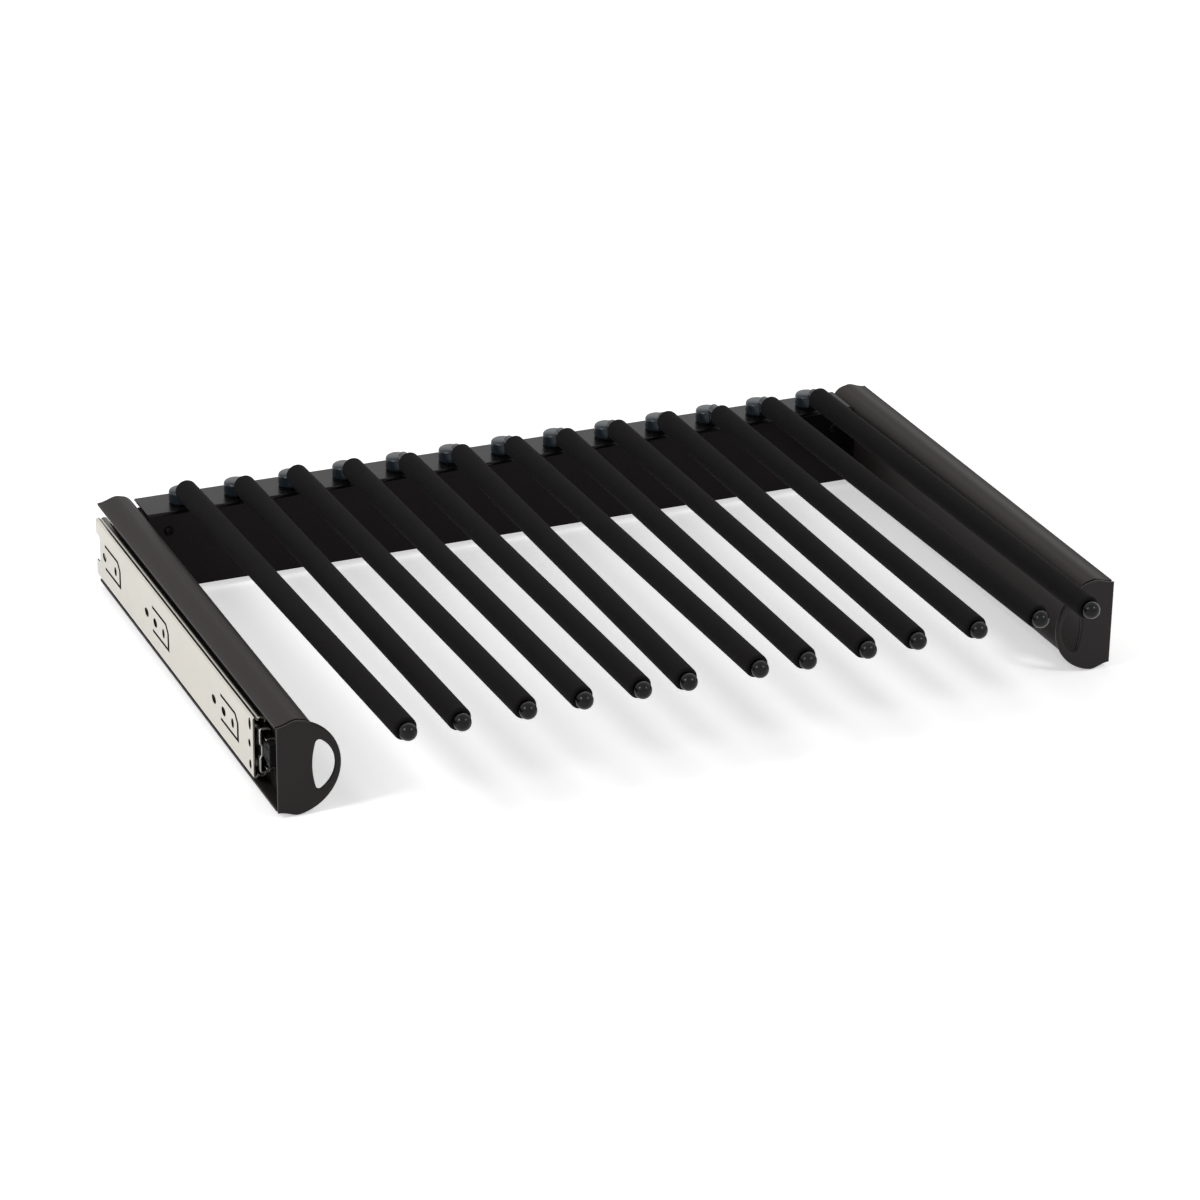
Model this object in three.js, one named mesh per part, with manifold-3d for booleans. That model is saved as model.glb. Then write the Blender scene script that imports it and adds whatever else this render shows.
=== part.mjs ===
// Pull-out trouser rack for a wardrobe.
// Two aluminium side profiles hang on three-member ball slides. A folded steel rail joins
// them at the back and carries a row of foam-covered trouser bars on round plastic holders.
// Units are millimetres. X runs across the rack, -Y points to the open front, Z is up.
// The origin is the middle of the floor rectangle under the whole rack.
import * as THREE from 'three';
import { mergeVertices } from 'three/addons/utils/BufferGeometryUtils.js';
import Module from 'manifold-3d';

const wasm = await Module();
wasm.setup();

// The whole rack
const overallWidth = 624;       // over the outer faces of the two slides
const barCount = 13;
const barEndSpace = 60;         // first and last bar, inward from the slides' outer faces
const fitGap = 0.3;             // clearance between pieces that touch on the real rack
const cutOverrun = 2;           // how far a cutting shape runs past what it cuts

// Side profile: an aluminium extrusion, open on the outside, closed and waisted on the inside
const profileLength = 390;
const profileWall = 1.8;
const lipHalfHeight = 31;       // lip tips above and below the middle of the profile
const lipSetback = 1.8;         // lips stand back from the outer face of the slide
const ogeeLead = 6.5;           // pull of the lip on the ogee between lip and crest
const ogeeTail = 5;             // pull of the crest on the same ogee
const ringRadius = 34.8;        // arc of the crest, which the end cap carries right round
const ringCentre = 9.5;         // middle of that arc, inward from the lip tips
const rollRadius = 11;          // rounded inner shoulders
const waistRadius = 59;         // hollow between the two shoulders
const crestAngle = 80;          // degrees up from level, where the ogee meets the crest
const shoulderAngle = 73;       // degrees up from level, where crest and shoulder meet

// End cap in front of each profile, with its finger hole
const capThickness = 4;
const capEdgeRound = 1;
const plugDepth = 8;            // plug that goes into the closed chamber of the profile
const gripRadius = 20.5;        // inner edge of the finger hole
const gripCentre = 19;          // middle of that edge, inward from the lip tips
const gripMargin = 0.75;        // outer edge of the finger hole, clear of the profile's waist
const gripCorner = 2.5;

// Three-member ball slide
const slideLength = 350;
const slideHeight = 45;
const slideThickness = 12.7;
const slideDrop = 3;            // the slide sits this far below the middle of the profile
const sheet = 1.2;              // steel sheet of all three members
const memberLead = 6;           // each member stands this far ahead of the one outside it
const outerBallRadius = 1.9;
const innerBallRadius = 1.7;
const outerBallInset = 6.2;     // ball rows, inward from the cabinet face
const innerBallInset = 7;
const outerBallHeight = 18.9;   // ball rows, above and below the slide's middle
const innerBallHeight = 13.2;
const cabinetCurl = 9.6;        // how far in the flanges of each member reach
const middleCurl = 10;
const middleWebInset = 2.7;     // outer face of the intermediate member's web
const drawerFlangeInset = 5.3;  // free edge of the drawer member's flanges
const bendSize = 1;             // folded corners of the members
const curlDrop = 1.9;           // how far the cabinet member's raceway curls over the balls
const cageSheet = 0.7;
const cageLength = 175;
const cageReach = 2;            // cage arms run this far past their balls
const ballsPerRow = 3;
const outerCageInset = 1.6;
const innerCageInset = 4.2;

// Punched details of the cabinet member, measured forward from its rear end
const tabStarts = [21, 133, 283];
const tabLength = 36;
const tabHalfHeight = 9;
const tabCorner = 5;
const slitWidth = 2;
const punchDrop = 0.9;          // the holes sit this far below the member's middle
const tabHole = { forward: 5.5, along: 8.5, high: 6.4 };
const tabSlot = { forward: 25, along: 5.6, high: 7 };
const screwHoles = [119.8, 268.8];
const screwHole = { along: 9, high: 6.2 };
const rearNotch = { depth: 8.5, bottom: -10, top: 11, chamfer: 2.5 };
const frontSlots = [
  { back: 5.6, middle: 15.6, high: 8.6, along: 3.6 },
  { back: 7.3, middle: 0.8, high: 5.4, along: 4 },
  { back: 6, middle: -14.5, high: 6.6, along: 3.4 },
];

// Rubber-faced buffer in the front of the drawer member
const bufferBody = 14;
const bufferHead = 6;
const bufferHeadHalfHeight = 12;
const bufferRib = 1.4;

// Rear rail: an angle of sheet steel, folded down in front
const railDepth = 34;
const railSheet = 1.5;
const railTop = 30;             // above the middle of the profile
const railBottom = -30;
const railFold = 2.6;           // outer radius of the fold
const railScrewInset = 45;      // rail screws, inward from the slide's outer face
const railScrewHeight = 15.5;
const railScrewHole = 2.6;      // radius

// Corner block behind each end of the rail
const blockDepth = 22;
const blockReach = 50;          // inward from the lip tips
const blockBottom = -18;
const blockFillet = 3;

// Rail screw
const screwHeadRadius = 3.6;
const screwHeadHeight = 1.8;
const screwShankRadius = 2;
const screwLength = 14;
const screwSocket = 1.7;        // half the width over the socket's corners
const screwSocketDepth = 1.2;
const screwFaceShare = 0.8;     // flat of the head, as a share of its radius

// Plastic holder that stands in a round hole of the rail
const holderInset = 17;         // axis of the holder, forward from the rear of the rail
const drumRadius = 9;
const drumWall = 7;             // height of the upright wall
const drumCrown = 3.8;          // rise of the domed top above the wall
const footHeight = 1.2;         // recessed foot that the drum stands on
const footInset = 0.9;
const spigotRadius = 3.9;
const spigotHead = 5;
const spigotTip = 3.2;
const spigotHeadHeight = 3.2;
const barHeight = 13;           // axis of the bar above the rail
const barrelRadius = 4.3;
const barrelRear = 8;           // barrel, forward from the holder's axis
const barrelFront = 26;
const barrelFloor = 1.5;        // closed end of the barrel
const noseWidthShare = 0.6;     // tapered rear end, as shares of the barrel's radius
const noseLengthShare = 0.6;
const neckHalfWidth = 2.6;
const neckFront = 10;           // the neck ends here, just in front of the drum

// Trouser bar and its foam sleeve
const rodRadius = 3;
const ballRadius = 6.1;
const barReach = 434;           // middle of the ball, forward from the holder's axis
const foamRadius = 8.2;
const foamEnd = 4;              // the foam ends this far behind the middle of the ball
const foamRound = 1.5;
const foamCup = 2.8;            // depth of the hollow that the ball sits in front of
const foamCupRadius = 5.1;
// Sideways play of each holder in its hole, in degrees, as the bars happen to stand
const barPlay = [1.5, 0.9, 1.4, 1.1, 1.05, -0.15, 1.15, 0.25, 0.6, 0, 0.55, 1.25, 0.9];
// How much of each barrel its foam leaves bare, as a share of its length in front of the neck
const bareShares = [0.01, 0.46, 0.14, 0.36, 0.69, 0.63, 0.63, 0.63, 0.57, 0.46, 0.74, 0.63, 0.52];

// How many sides and steps the curves have
const drumSides = 12;
const barSides = 12;
const boreSides = 8;
const ringSteps = 11;
const rollSteps = 8;
const waistSteps = 4;
const ogeeSteps = 6;
const ballSteps = 4;
const cornerSteps = 3;
const foldSteps = 4;
const domeSteps = 2;
const foamSteps = 1;
const holeSides = 8;
const socketSides = 6;
const ballDetail = 1;

const finishes = {
  satinBlack: { color: 0x2b292a, roughness: 0.45, metalness: 0.6 },
  capBlack: { color: 0x2a292a, roughness: 0.4, metalness: 0.1 },
  railBlack: { color: 0x1f1e1e, roughness: 0.4, metalness: 0.5 },
  castGrey: { color: 0x3a3a3a, roughness: 0.6, metalness: 0.5 },
  zinc: { color: 0xc8c4bc, roughness: 0.35, metalness: 0.9 },
  cageBrass: { color: 0xa79f8c, roughness: 0.4, metalness: 0.8 },
  holderGrey: { color: 0x2a3036, roughness: 0.45, metalness: 0 },
  foamBlack: { color: 0x1e1d1e, roughness: 0.95, metalness: 0 },
  glossBlack: { color: 0x1a191b, roughness: 0.15, metalness: 0.3 },
  bufferGrey: { color: 0x3c3c3e, roughness: 0.7, metalness: 0 },
  screwBlack: { color: 0x141414, roughness: 0.4, metalness: 0.7 },
};

// Places that several pieces share
const weldGap = fitGap / 1000;
const halfWidth = overallWidth / 2;
const barPitch = (overallWidth - 2 * barEndSpace) / (barCount - 1);
const lipFace = halfWidth - lipSetback;
const slideZ = -slideDrop;
const webInset = slideThickness - lipSetback + fitGap;
const holeRadius = spigotRadius + fitGap;
const boreRadius = rodRadius + fitGap;
const sleeveRadius = barrelRadius + fitGap;
const overallDepth = holderInset + barReach + ballRadius;
const shoulder = polar(ringCentre, 0, ringRadius - rollRadius, shoulderAngle);
const rollReach = shoulder.x + rollRadius;
const waistCentre = shoulder.x + Math.sqrt((waistRadius + rollRadius) ** 2 - shoulder.y ** 2);
const crestHeight = Math.max(...profileHalf().outside.map((p) => p.y));

function point(x, y) {
  return new THREE.Vector2(x, y);
}

function polar(x, y, radius, degrees) {
  const angle = THREE.MathUtils.degToRad(degrees);
  return point(x + radius * Math.cos(angle), y + radius * Math.sin(angle));
}

function bearing(from, to) {
  return THREE.MathUtils.radToDeg(Math.atan2(to.y - from.y, to.x - from.x));
}

function arc(x, y, radius, from, to, steps) {
  return Array.from({ length: steps + 1 }, (_, i) =>
    polar(x, y, radius, from + (to - from) * i / steps));
}

// An oval hole around a point, with its width and height
function oval(x, y, along, high) {
  return arc(0, 0, 1 / 2, 0, 360, holeSides).slice(1).map((on) =>
    point(x + along * on.x, y + high * on.y));
}

// The same half outline below the middle line, run backwards to close the upper half
function withMirror(half) {
  const upper = half.map((p) => point(p.x, Math.abs(p.y) < weldGap ? 0 : p.y));
  const lower = upper.map((p) => point(p.x, -p.y)).reverse();
  return [...upper, ...lower.slice(upper.at(-1).y === 0 ? 1 : 0)];
}

// A line moved sideways, to the right of the way it runs, with true corners
function offset(line, distance) {
  return line.map((p, i) => {
    const before = i > 0 ? p.clone().sub(line[i - 1]) : line[1].clone().sub(p);
    const after = i < line.length - 1 ? line[i + 1].clone().sub(p) : before.clone();
    const along = before.normalize().add(after.normalize());
    const step = distance / along.normalize().dot(after);
    return point(p.x + along.y * step, p.y - along.x * step);
  });
}

// A bent strip of even thickness around a centre line
function strip(line, thickness) {
  return [...offset(line, -thickness / 2), ...offset(line, thickness / 2).reverse()];
}

// The stretches of a line before and after it first passes x, with the point on x in both
function splitAt(line, x) {
  const i = line.findIndex((p) => p.x > x);
  const a = line[i - 1];
  const b = line[i];
  const on = a.clone().lerp(b, (x - a.x) / (b.x - a.x));
  return [[...line.slice(0, i), on], [on, ...line.slice(i)]];
}

// The stretch of a falling line between two heights
function betweenHeights(line, top, bottom) {
  const [from, to] = [top, bottom].map((height) => line.findIndex((p) => p.y < height));
  const [first, last] = [[from, top], [to, bottom]].map(([i, height]) => {
    const a = line[i - 1];
    return a.clone().lerp(line[i], (height - a.y) / (line[i].y - a.y));
  });
  return [first, ...line.slice(from, to), last];
}

function wound(line, clockwise) {
  return THREE.ShapeUtils.isClockWise(line) === clockwise ? line : [...line].reverse();
}

function shapeOf(outline, holes = []) {
  const shape = new THREE.Shape(wound(outline, false));
  shape.holes = holes.map((hole) => new THREE.Path(wound(hole, true)));
  return shape;
}

// A section drawn inward from the outside of one side, run forward from a place on Y
function runForward(side, face, outline, rear, length, holes = [], bevel = 0) {
  const place = (line) => line.map((p) => point(side * (face - p.x), p.y));
  const geometry = new THREE.ExtrudeGeometry(shapeOf(place(outline), holes.map(place)), {
    depth: length - 2 * bevel,
    bevelEnabled: bevel > 0,
    bevelThickness: bevel,
    bevelSize: bevel,
    bevelOffset: -bevel,
    bevelSegments: 1,
    curveSegments: 1,
  });
  geometry.rotateX(Math.PI / 2);
  return geometry.translate(0, rear - bevel, 0);
}

// An outline in the Y and Z directions, run across from one X to another
function runAcross(outline, from, to) {
  const geometry = new THREE.ExtrudeGeometry(shapeOf(outline), {
    depth: to - from,
    bevelEnabled: false,
    curveSegments: 1,
  });
  const along = new THREE.Vector3(1, 0, 0);
  const side = new THREE.Vector3(0, 1, 0);
  const up = new THREE.Vector3(0, 0, 1);
  geometry.applyMatrix4(new THREE.Matrix4().makeBasis(side, up, along));
  return geometry.translate(from, 0, 0);
}

// Turned pieces: outlines of (radius, height) about Z, or (radius, forward) about the bar
function turnedUp(outline, segments) {
  return new THREE.LatheGeometry(outline, segments).rotateX(Math.PI / 2);
}

function turnedForward(outline, segments) {
  return new THREE.LatheGeometry(outline, segments).rotateX(Math.PI);
}

function rod(radius, from, to, segments) {
  const outline = [point(0, from), point(radius, from), point(radius, to), point(0, to)];
  return turnedForward(outline, segments);
}

function solid(geometry) {
  const bare = geometry.index ? geometry.toNonIndexed() : geometry.clone();
  bare.deleteAttribute('normal');
  bare.deleteAttribute('uv');
  const merged = mergeVertices(bare, weldGap);
  return new wasm.Manifold(new wasm.Mesh({
    numProp: 3,
    vertProperties: new Float32Array(merged.attributes.position.array),
    triVerts: new Uint32Array(merged.index.array),
  }));
}

function toGeometry(body) {
  const mesh = body.getMesh();
  const geometry = new THREE.BufferGeometry();
  geometry.setAttribute('position', new THREE.BufferAttribute(mesh.vertProperties, 3));
  geometry.setIndex(new THREE.BufferAttribute(mesh.triVerts, 1));
  geometry.computeVertexNormals();
  return geometry;
}

function cut(geometry, tools) {
  return toGeometry(tools.reduce((body, tool) => body.subtract(solid(tool)), solid(geometry)));
}

function join(geometries) {
  const [first, ...rest] = geometries.map(solid);
  return toGeometry(rest.reduce((body, piece) => body.add(piece), first));
}

function part(name, geometry, finish) {
  const mesh = new THREE.Mesh(geometry, new THREE.MeshStandardMaterial(finishes[finish]));
  mesh.name = name;
  return mesh;
}

// Upper half of the profile's outside, from the lip tip to the middle of the waist
function profileHalf() {
  const crest = polar(ringCentre, 0, ringRadius, crestAngle);
  const pull = polar(crest.x, crest.y, ogeeTail, crestAngle + 90);
  const ogee = new THREE.CubicBezierCurve(
    point(0, lipHalfHeight), point(ogeeLead, lipHalfHeight), pull, crest);
  const waistStart = bearing(point(waistCentre, 0), shoulder);
  const roll = arc(shoulder.x, shoulder.y, rollRadius, shoulderAngle, waistStart - 180, rollSteps);
  const waist = arc(waistCentre, 0, waistRadius, waistStart, 180, waistSteps);
  const lead = ogee.getPoints(ogeeSteps);
  return { ogee: lead, outside: [...lead, ...roll, ...waist.slice(1)] };
}

// Outline of the closed chamber, or of anything that fits in it with a clearance
function chamberOutline(clearance) {
  const wall = offset(profileHalf().outside, profileWall + clearance);
  const [, chamber] = splitAt(wall, webInset + profileWall + clearance);
  return withMirror(chamber);
}

function sideProfile(side, name) {
  const { outside } = profileHalf();
  const [channel] = splitAt(offset(outside, profileWall), webInset);
  const outline = [...withMirror(outside), ...withMirror(channel).reverse()];
  const chamber = chamberOutline(0);
  return part(name, runForward(side, lipFace, outline, 0, profileLength, [chamber]), 'satinBlack');
}

// The finger hole: the inner arc follows the ring, the outer one the waist of the profile
function gripOutline() {
  const hollow = waistRadius - gripMargin;
  const span = waistCentre - gripCentre;
  const near = gripRadius - gripCorner;
  const far = hollow - gripCorner;
  const x = (span ** 2 + near ** 2 - far ** 2) / (2 * span);
  const corner = point(gripCentre + x, Math.sqrt(near ** 2 - x ** 2));
  const ringEnd = bearing(point(gripCentre, 0), corner);
  const waistEnd = bearing(point(waistCentre, 0), corner);
  return [
    ...arc(gripCentre, 0, gripRadius, -ringEnd, ringEnd, rollSteps),
    ...arc(corner.x, corner.y, gripCorner, ringEnd, waistEnd, cornerSteps).slice(1),
    ...arc(waistCentre, 0, hollow, waistEnd, 2 * 180 - waistEnd, waistSteps).slice(1),
    ...arc(corner.x, -corner.y, gripCorner, -waistEnd, -ringEnd, cornerSteps).slice(1, -1),
  ];
}

function endCap(side, name) {
  const { ogee } = profileHalf();
  const half = [...ogee, ...arc(ringCentre, 0, ringRadius, crestAngle, 0, ringSteps).slice(1)];
  const rear = -profileLength - fitGap;
  const plate = runForward(side, lipFace, withMirror(half), rear + capThickness,
    2 * capThickness, [gripOutline()], capEdgeRound);
  const reach = 2 * (ringCentre + ringRadius + cutOverrun);
  const behind = new THREE.BoxGeometry(reach, 2 * capThickness, reach);
  behind.translate(side * lipFace, rear + capThickness, 0);
  const plug = runForward(side, lipFace, chamberOutline(fitGap), rear + plugDepth,
    plugDepth + capThickness / 2);
  return part(name, join([cut(plate, [behind]), plug]), 'capBlack');
}

// Slide members are drawn in their upper half: (inward from the cabinet face, up)
function cabinetSection() {
  const web = sheet / 2;
  const top = slideHeight / 2 - sheet / 2;
  return strip(withMirror([
    point(cabinetCurl, top - bendSize - curlDrop),
    point(cabinetCurl - bendSize, top - bendSize),
    point(outerBallInset, top),
    point(web + bendSize, top),
    point(web, top - bendSize),
  ]), sheet);
}

function middleSection() {
  const web = middleWebInset + sheet / 2;
  const race = (outerBallHeight + innerBallHeight) / 2;
  return strip(withMirror([
    point(middleCurl, race - bendSize),
    point(middleCurl - bendSize, race),
    point(web + bendSize, race),
    point(web, race - bendSize),
  ]), sheet);
}

function drawerSection() {
  const web = slideThickness - sheet / 2;
  const race = innerBallHeight - innerBallRadius - fitGap - sheet / 2;
  return strip(withMirror([
    point(drawerFlangeInset, race),
    point(web - bendSize, race),
    point(web, race - bendSize),
  ]), sheet);
}

function raised(outline) {
  return outline.map((p) => point(p.x, p.y + slideZ));
}

function member(side, name, section, order) {
  const rear = -order * memberLead;
  return part(name, runForward(side, halfWidth, raised(section), rear, slideLength), 'zinc');
}

// A cutting prism through the web of the cabinet member, drawn as (forward, up)
function webTool(side, outline) {
  const turned = outline.map((p) => point(-p.x, p.y + slideZ));
  const reach = sheet + cutOverrun;
  const inner = side * (halfWidth - sheet - fitGap);
  const outer = inner + side * reach;
  return runAcross(turned, Math.min(inner, outer), Math.max(inner, outer));
}

function box(forward, middle, along, high) {
  return [
    point(forward - along / 2, middle - high / 2), point(forward + along / 2, middle - high / 2),
    point(forward + along / 2, middle + high / 2), point(forward - along / 2, middle + high / 2),
  ];
}

function punch(side, forward, middle, { along, high }) {
  return webTool(side, oval(forward, middle, along, high));
}

function tabTools(side, start) {
  const end = start + tabLength;
  const slit = [
    point(start, tabHalfHeight),
    point(end - tabCorner, tabHalfHeight),
    point(end, tabHalfHeight - tabCorner),
    point(end, -tabHalfHeight),
    point(start, -tabHalfHeight),
  ];
  return [
    webTool(side, strip(slit, slitWidth)),
    punch(side, start + tabHole.forward, -punchDrop, tabHole),
    punch(side, start + tabSlot.forward, -punchDrop, tabSlot),
  ];
}

function rearNotchOutline() {
  const { depth, bottom, top, chamfer } = rearNotch;
  return [
    point(-cutOverrun, bottom), point(depth - chamfer, bottom), point(depth, bottom + chamfer),
    point(depth, top - chamfer), point(depth - chamfer, top), point(-cutOverrun, top),
  ];
}

function cabinetMember(side, name) {
  const body = member(side, name, cabinetSection(), 0);
  const tools = [
    webTool(side, rearNotchOutline()),
    ...tabStarts.flatMap((start) => tabTools(side, start)),
    ...screwHoles.map((forward) => punch(side, forward, -punchDrop, screwHole)),
    ...frontSlots.map((slot) => punch(side, slideLength - slot.back, slot.middle, slot)),
  ];
  body.geometry = cut(body.geometry, tools);
  return body;
}

// A cage: a thin channel between two members, with balls held in its two arms
function ballCage(side, name, inset, row, ballInset, radius, order) {
  const plate = inset + cageSheet / 2;
  const section = strip(withMirror([
    point(ballInset + cageReach, row), point(plate, row),
  ]), cageSheet);
  const rear = -(slideLength - cageLength) / 2 - order * memberLead;
  const channel = runForward(side, halfWidth, raised(section), rear, cageLength);
  const spacing = cageLength / ballsPerRow;
  const balls = [];
  for (const level of [-row, row]) {
    for (let i = 0; i < ballsPerRow; i += 1) {
      const ball = new THREE.OctahedronGeometry(radius, ballDetail);
      ball.translate(side * (halfWidth - ballInset), rear - spacing * (i + 1 / 2), slideZ + level);
      balls.push(ball);
    }
  }
  return part(name, join([channel, ...balls]), 'cageBrass');
}

function slideBuffer(side, name) {
  const race = innerBallHeight - innerBallRadius - fitGap - sheet;
  const inner = drawerFlangeInset;
  const outer = slideThickness - sheet - fitGap;
  const front = -(slideLength + 2 * memberLead);
  const upper = (high) => raised(withMirror([point(inner, high), point(outer, high)]));
  const body = runForward(side, halfWidth, upper(race - bendSize), front + bufferBody,
    bufferBody + bufferHead / 2);
  const head = runForward(side, halfWidth, upper(bufferHeadHalfHeight), front - fitGap,
    bufferHead);
  const grooves = [-1, 1].map((level) => runForward(side, halfWidth,
    raised(box(inner, level * bufferHeadHalfHeight / 2, bufferRib, bufferRib)),
    front + cutOverrun, bufferHead + 2 * cutOverrun));
  return part(name, cut(join([body, head]), grooves), 'bufferGrey');
}

// Rail section as (Y, Z): flat on top, folded down along the front
function railSection() {
  const front = -railDepth;
  const inner = railFold - railSheet;
  return [
    point(0, railTop),
    point(0, railTop - railSheet),
    ...arc(front + railFold, railTop - railFold, inner, 90, 180, foldSteps),
    point(front + railSheet, railBottom),
    point(front, railBottom),
    ...arc(front + railFold, railTop - railFold, railFold, 180, 90, foldSteps),
  ];
}

function barPlaces() {
  return Array.from({ length: barCount }, (_, i) => (i - (barCount - 1) / 2) * barPitch);
}

function rearRail() {
  const end = lipFace - rollReach - fitGap;
  const bar = runAcross(railSection(), -end, end);
  const spigotHoles = barPlaces().map((x) => {
    const tool = new THREE.CylinderGeometry(holeRadius, holeRadius, 2 * railFold, drumSides);
    return tool.rotateX(Math.PI / 2).translate(x, -holderInset, railTop);
  });
  const faceHoles = [-1, 1].map((side) => {
    const tool = rod(railScrewHole, -railFold, railFold, holeSides);
    return tool.translate(side * (halfWidth - railScrewInset), -railDepth, railScrewHeight);
  });
  return part('rear_rail', cut(bar, [...spigotHoles, ...faceHoles]), 'railBlack');
}

// Block whose outer side follows the profile's shoulder and waist
function cornerBlock(side, name) {
  const top = railTop - railFold;
  const skin = offset(withMirror(profileHalf().outside), -fitGap);
  const outline = [
    ...betweenHeights(skin, top, blockBottom),
    ...arc(blockReach - blockFillet, blockBottom + blockFillet, blockFillet, 270, 360, cornerSteps),
    ...arc(blockReach - blockFillet, top - blockFillet, blockFillet, 0, 90, cornerSteps),
  ];
  const front = -railDepth + railSheet + fitGap;
  const block = runForward(side, lipFace, outline, front + blockDepth, blockDepth);
  const thread = rod(screwShankRadius + fitGap, -screwLength, cutOverrun, holeSides);
  thread.translate(side * (halfWidth - railScrewInset), front, railScrewHeight);
  return part(name, cut(block, [thread]), 'castGrey');
}

function railScrew(side, name) {
  const turned = turnedForward([
    point(0, -screwLength),
    point(screwShankRadius, -screwLength),
    point(screwShankRadius, fitGap),
    point(screwHeadRadius, fitGap),
    point(screwHeadRadius, fitGap + screwHeadHeight / 2),
    point(screwHeadRadius * screwFaceShare, fitGap + screwHeadHeight),
    point(0, fitGap + screwHeadHeight),
  ], barSides);
  const socket = rod(screwSocket, fitGap + screwHeadHeight - screwSocketDepth,
    fitGap + screwHeadHeight + cutOverrun, socketSides);
  const screw = part(name, cut(turned, [socket]), 'screwBlack');
  screw.position.set(side * (halfWidth - railScrewInset), -railDepth, railScrewHeight);
  return screw;
}

// Holder: a domed drum with a snap-in spigot below and a barrel for the bar in front
function holderGeometry() {
  const under = -railSheet - fitGap;
  const drum = turnedUp([
    point(0, under - spigotHeadHeight),
    point(spigotTip, under - spigotHeadHeight),
    point(spigotHead, under - spigotHeadHeight / 2),
    point(spigotHead, under),
    point(spigotRadius, under),
    point(spigotRadius, fitGap),
    point(drumRadius - footInset, fitGap),
    point(drumRadius - footInset, footHeight),
    point(drumRadius, footHeight),
    ...arc(0, 0, 1, 0, 90, domeSteps).slice(0, -1).map((on) =>
      point(drumRadius * on.x, drumWall + drumCrown * on.y)),
    point(0, drumWall + drumCrown),
  ], drumSides);
  const barrel = turnedForward([
    point(0, barrelRear),
    point(barrelRadius * noseWidthShare, barrelRear),
    point(barrelRadius, barrelRear + barrelRadius * noseLengthShare),
    point(barrelRadius, barrelFront),
    point(0, barrelFront),
  ], boreSides).translate(0, 0, barHeight);
  const neck = runAcross([
    point(0, footHeight),
    point(-drumRadius, footHeight),
    point(-neckFront, barrelRadius),
    point(-neckFront, barHeight),
    point(-barrelRear - barrelFloor, barHeight),
    point(0, drumWall),
  ], -neckHalfWidth, neckHalfWidth);
  const bore = rod(boreRadius, barrelRear + barrelFloor, barrelFront + cutOverrun, boreSides);
  return cut(join([drum, barrel, neck]), [bore.translate(0, 0, barHeight)]);
}

function barGeometry() {
  const start = barrelRear + barrelFloor + fitGap;
  const neck = THREE.MathUtils.radToDeg(Math.asin(rodRadius / ballRadius));
  const ball = arc(0, barReach, ballRadius, neck - 90, 90, ballSteps);
  ball[ballSteps].x = 0;
  return turnedForward([
    point(0, start), point(rodRadius, start), ...ball,
  ], barSides);
}

// The foam slips over the barrel, by a different length on each bar
function foamGeometry(bareShare) {
  const start = neckFront + fitGap + bareShare * (barrelFront - neckFront);
  const step = barrelFront + fitGap;
  const end = barReach - foamEnd;
  return turnedForward([
    point(sleeveRadius, start),
    point(foamRadius, start),
    ...arc(foamRadius - foamRound, end - foamRound, foamRound, 0, 90, foamSteps),
    point(foamCupRadius, end),
    point(boreRadius, end - foamCup),
    point(boreRadius, step),
    point(sleeveRadius, step),
    point(sleeveRadius, start),
  ], barSides);
}

function barGroup(index, x) {
  const label = String(index + 1).padStart(2, '0');
  const group = new THREE.Group();
  const bar = part(`trouser_bar_${label}`, barGeometry(), 'glossBlack');
  const bare = bareShares[index % bareShares.length];
  const foam = part(`foam_sleeve_${label}`, foamGeometry(bare), 'foamBlack');
  bar.position.z = barHeight;
  foam.position.z = barHeight;
  group.add(part(`bar_holder_${label}`, holderGeometry(), 'holderGrey'), bar, foam);
  group.position.set(x, -holderInset, railTop);
  group.rotation.z = THREE.MathUtils.degToRad(barPlay[index % barPlay.length]);
  return group;
}

function sideGroup(side, word) {
  const group = new THREE.Group();
  group.add(
    sideProfile(side, `side_profile_${word}`),
    endCap(side, `end_cap_${word}`),
    cabinetMember(side, `slide_cabinet_member_${word}`),
    member(side, `slide_middle_member_${word}`, middleSection(), 1),
    member(side, `slide_drawer_member_${word}`, drawerSection(), 2),
    ballCage(side, `outer_ball_cage_${word}`, outerCageInset, outerBallHeight,
      outerBallInset, outerBallRadius, 1),
    ballCage(side, `inner_ball_cage_${word}`, innerCageInset, innerBallHeight,
      innerBallInset, innerBallRadius, 2),
    slideBuffer(side, `slide_buffer_${word}`),
    cornerBlock(side, `corner_block_${word}`),
    railScrew(side, `rail_screw_${word}`),
  );
  return group;
}

const rack = new THREE.Group();
rack.add(rearRail(), sideGroup(-1, 'left'), sideGroup(1, 'right'));
barPlaces().forEach((x, index) => rack.add(barGroup(index, x)));
rack.position.set(0, overallDepth / 2, crestHeight);

export default rack;
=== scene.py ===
# %% [markdown]
# A pull-out trouser rack for a wardrobe: two black aluminium side profiles that roll on ball
# slides, a black steel rail across the back, and thirteen foam-covered bars that stand on
# round plastic holders. The solid model of the rack gives every place and size. This lesson
# dresses it: each piece that shows gets its true curves, its edges and its finish.
# %% Load the rack
from math import atan2, cos, degrees, pi, radians, sin, sqrt, tan

import bmesh
import bpy
from mathutils import Matrix, Vector


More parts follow.
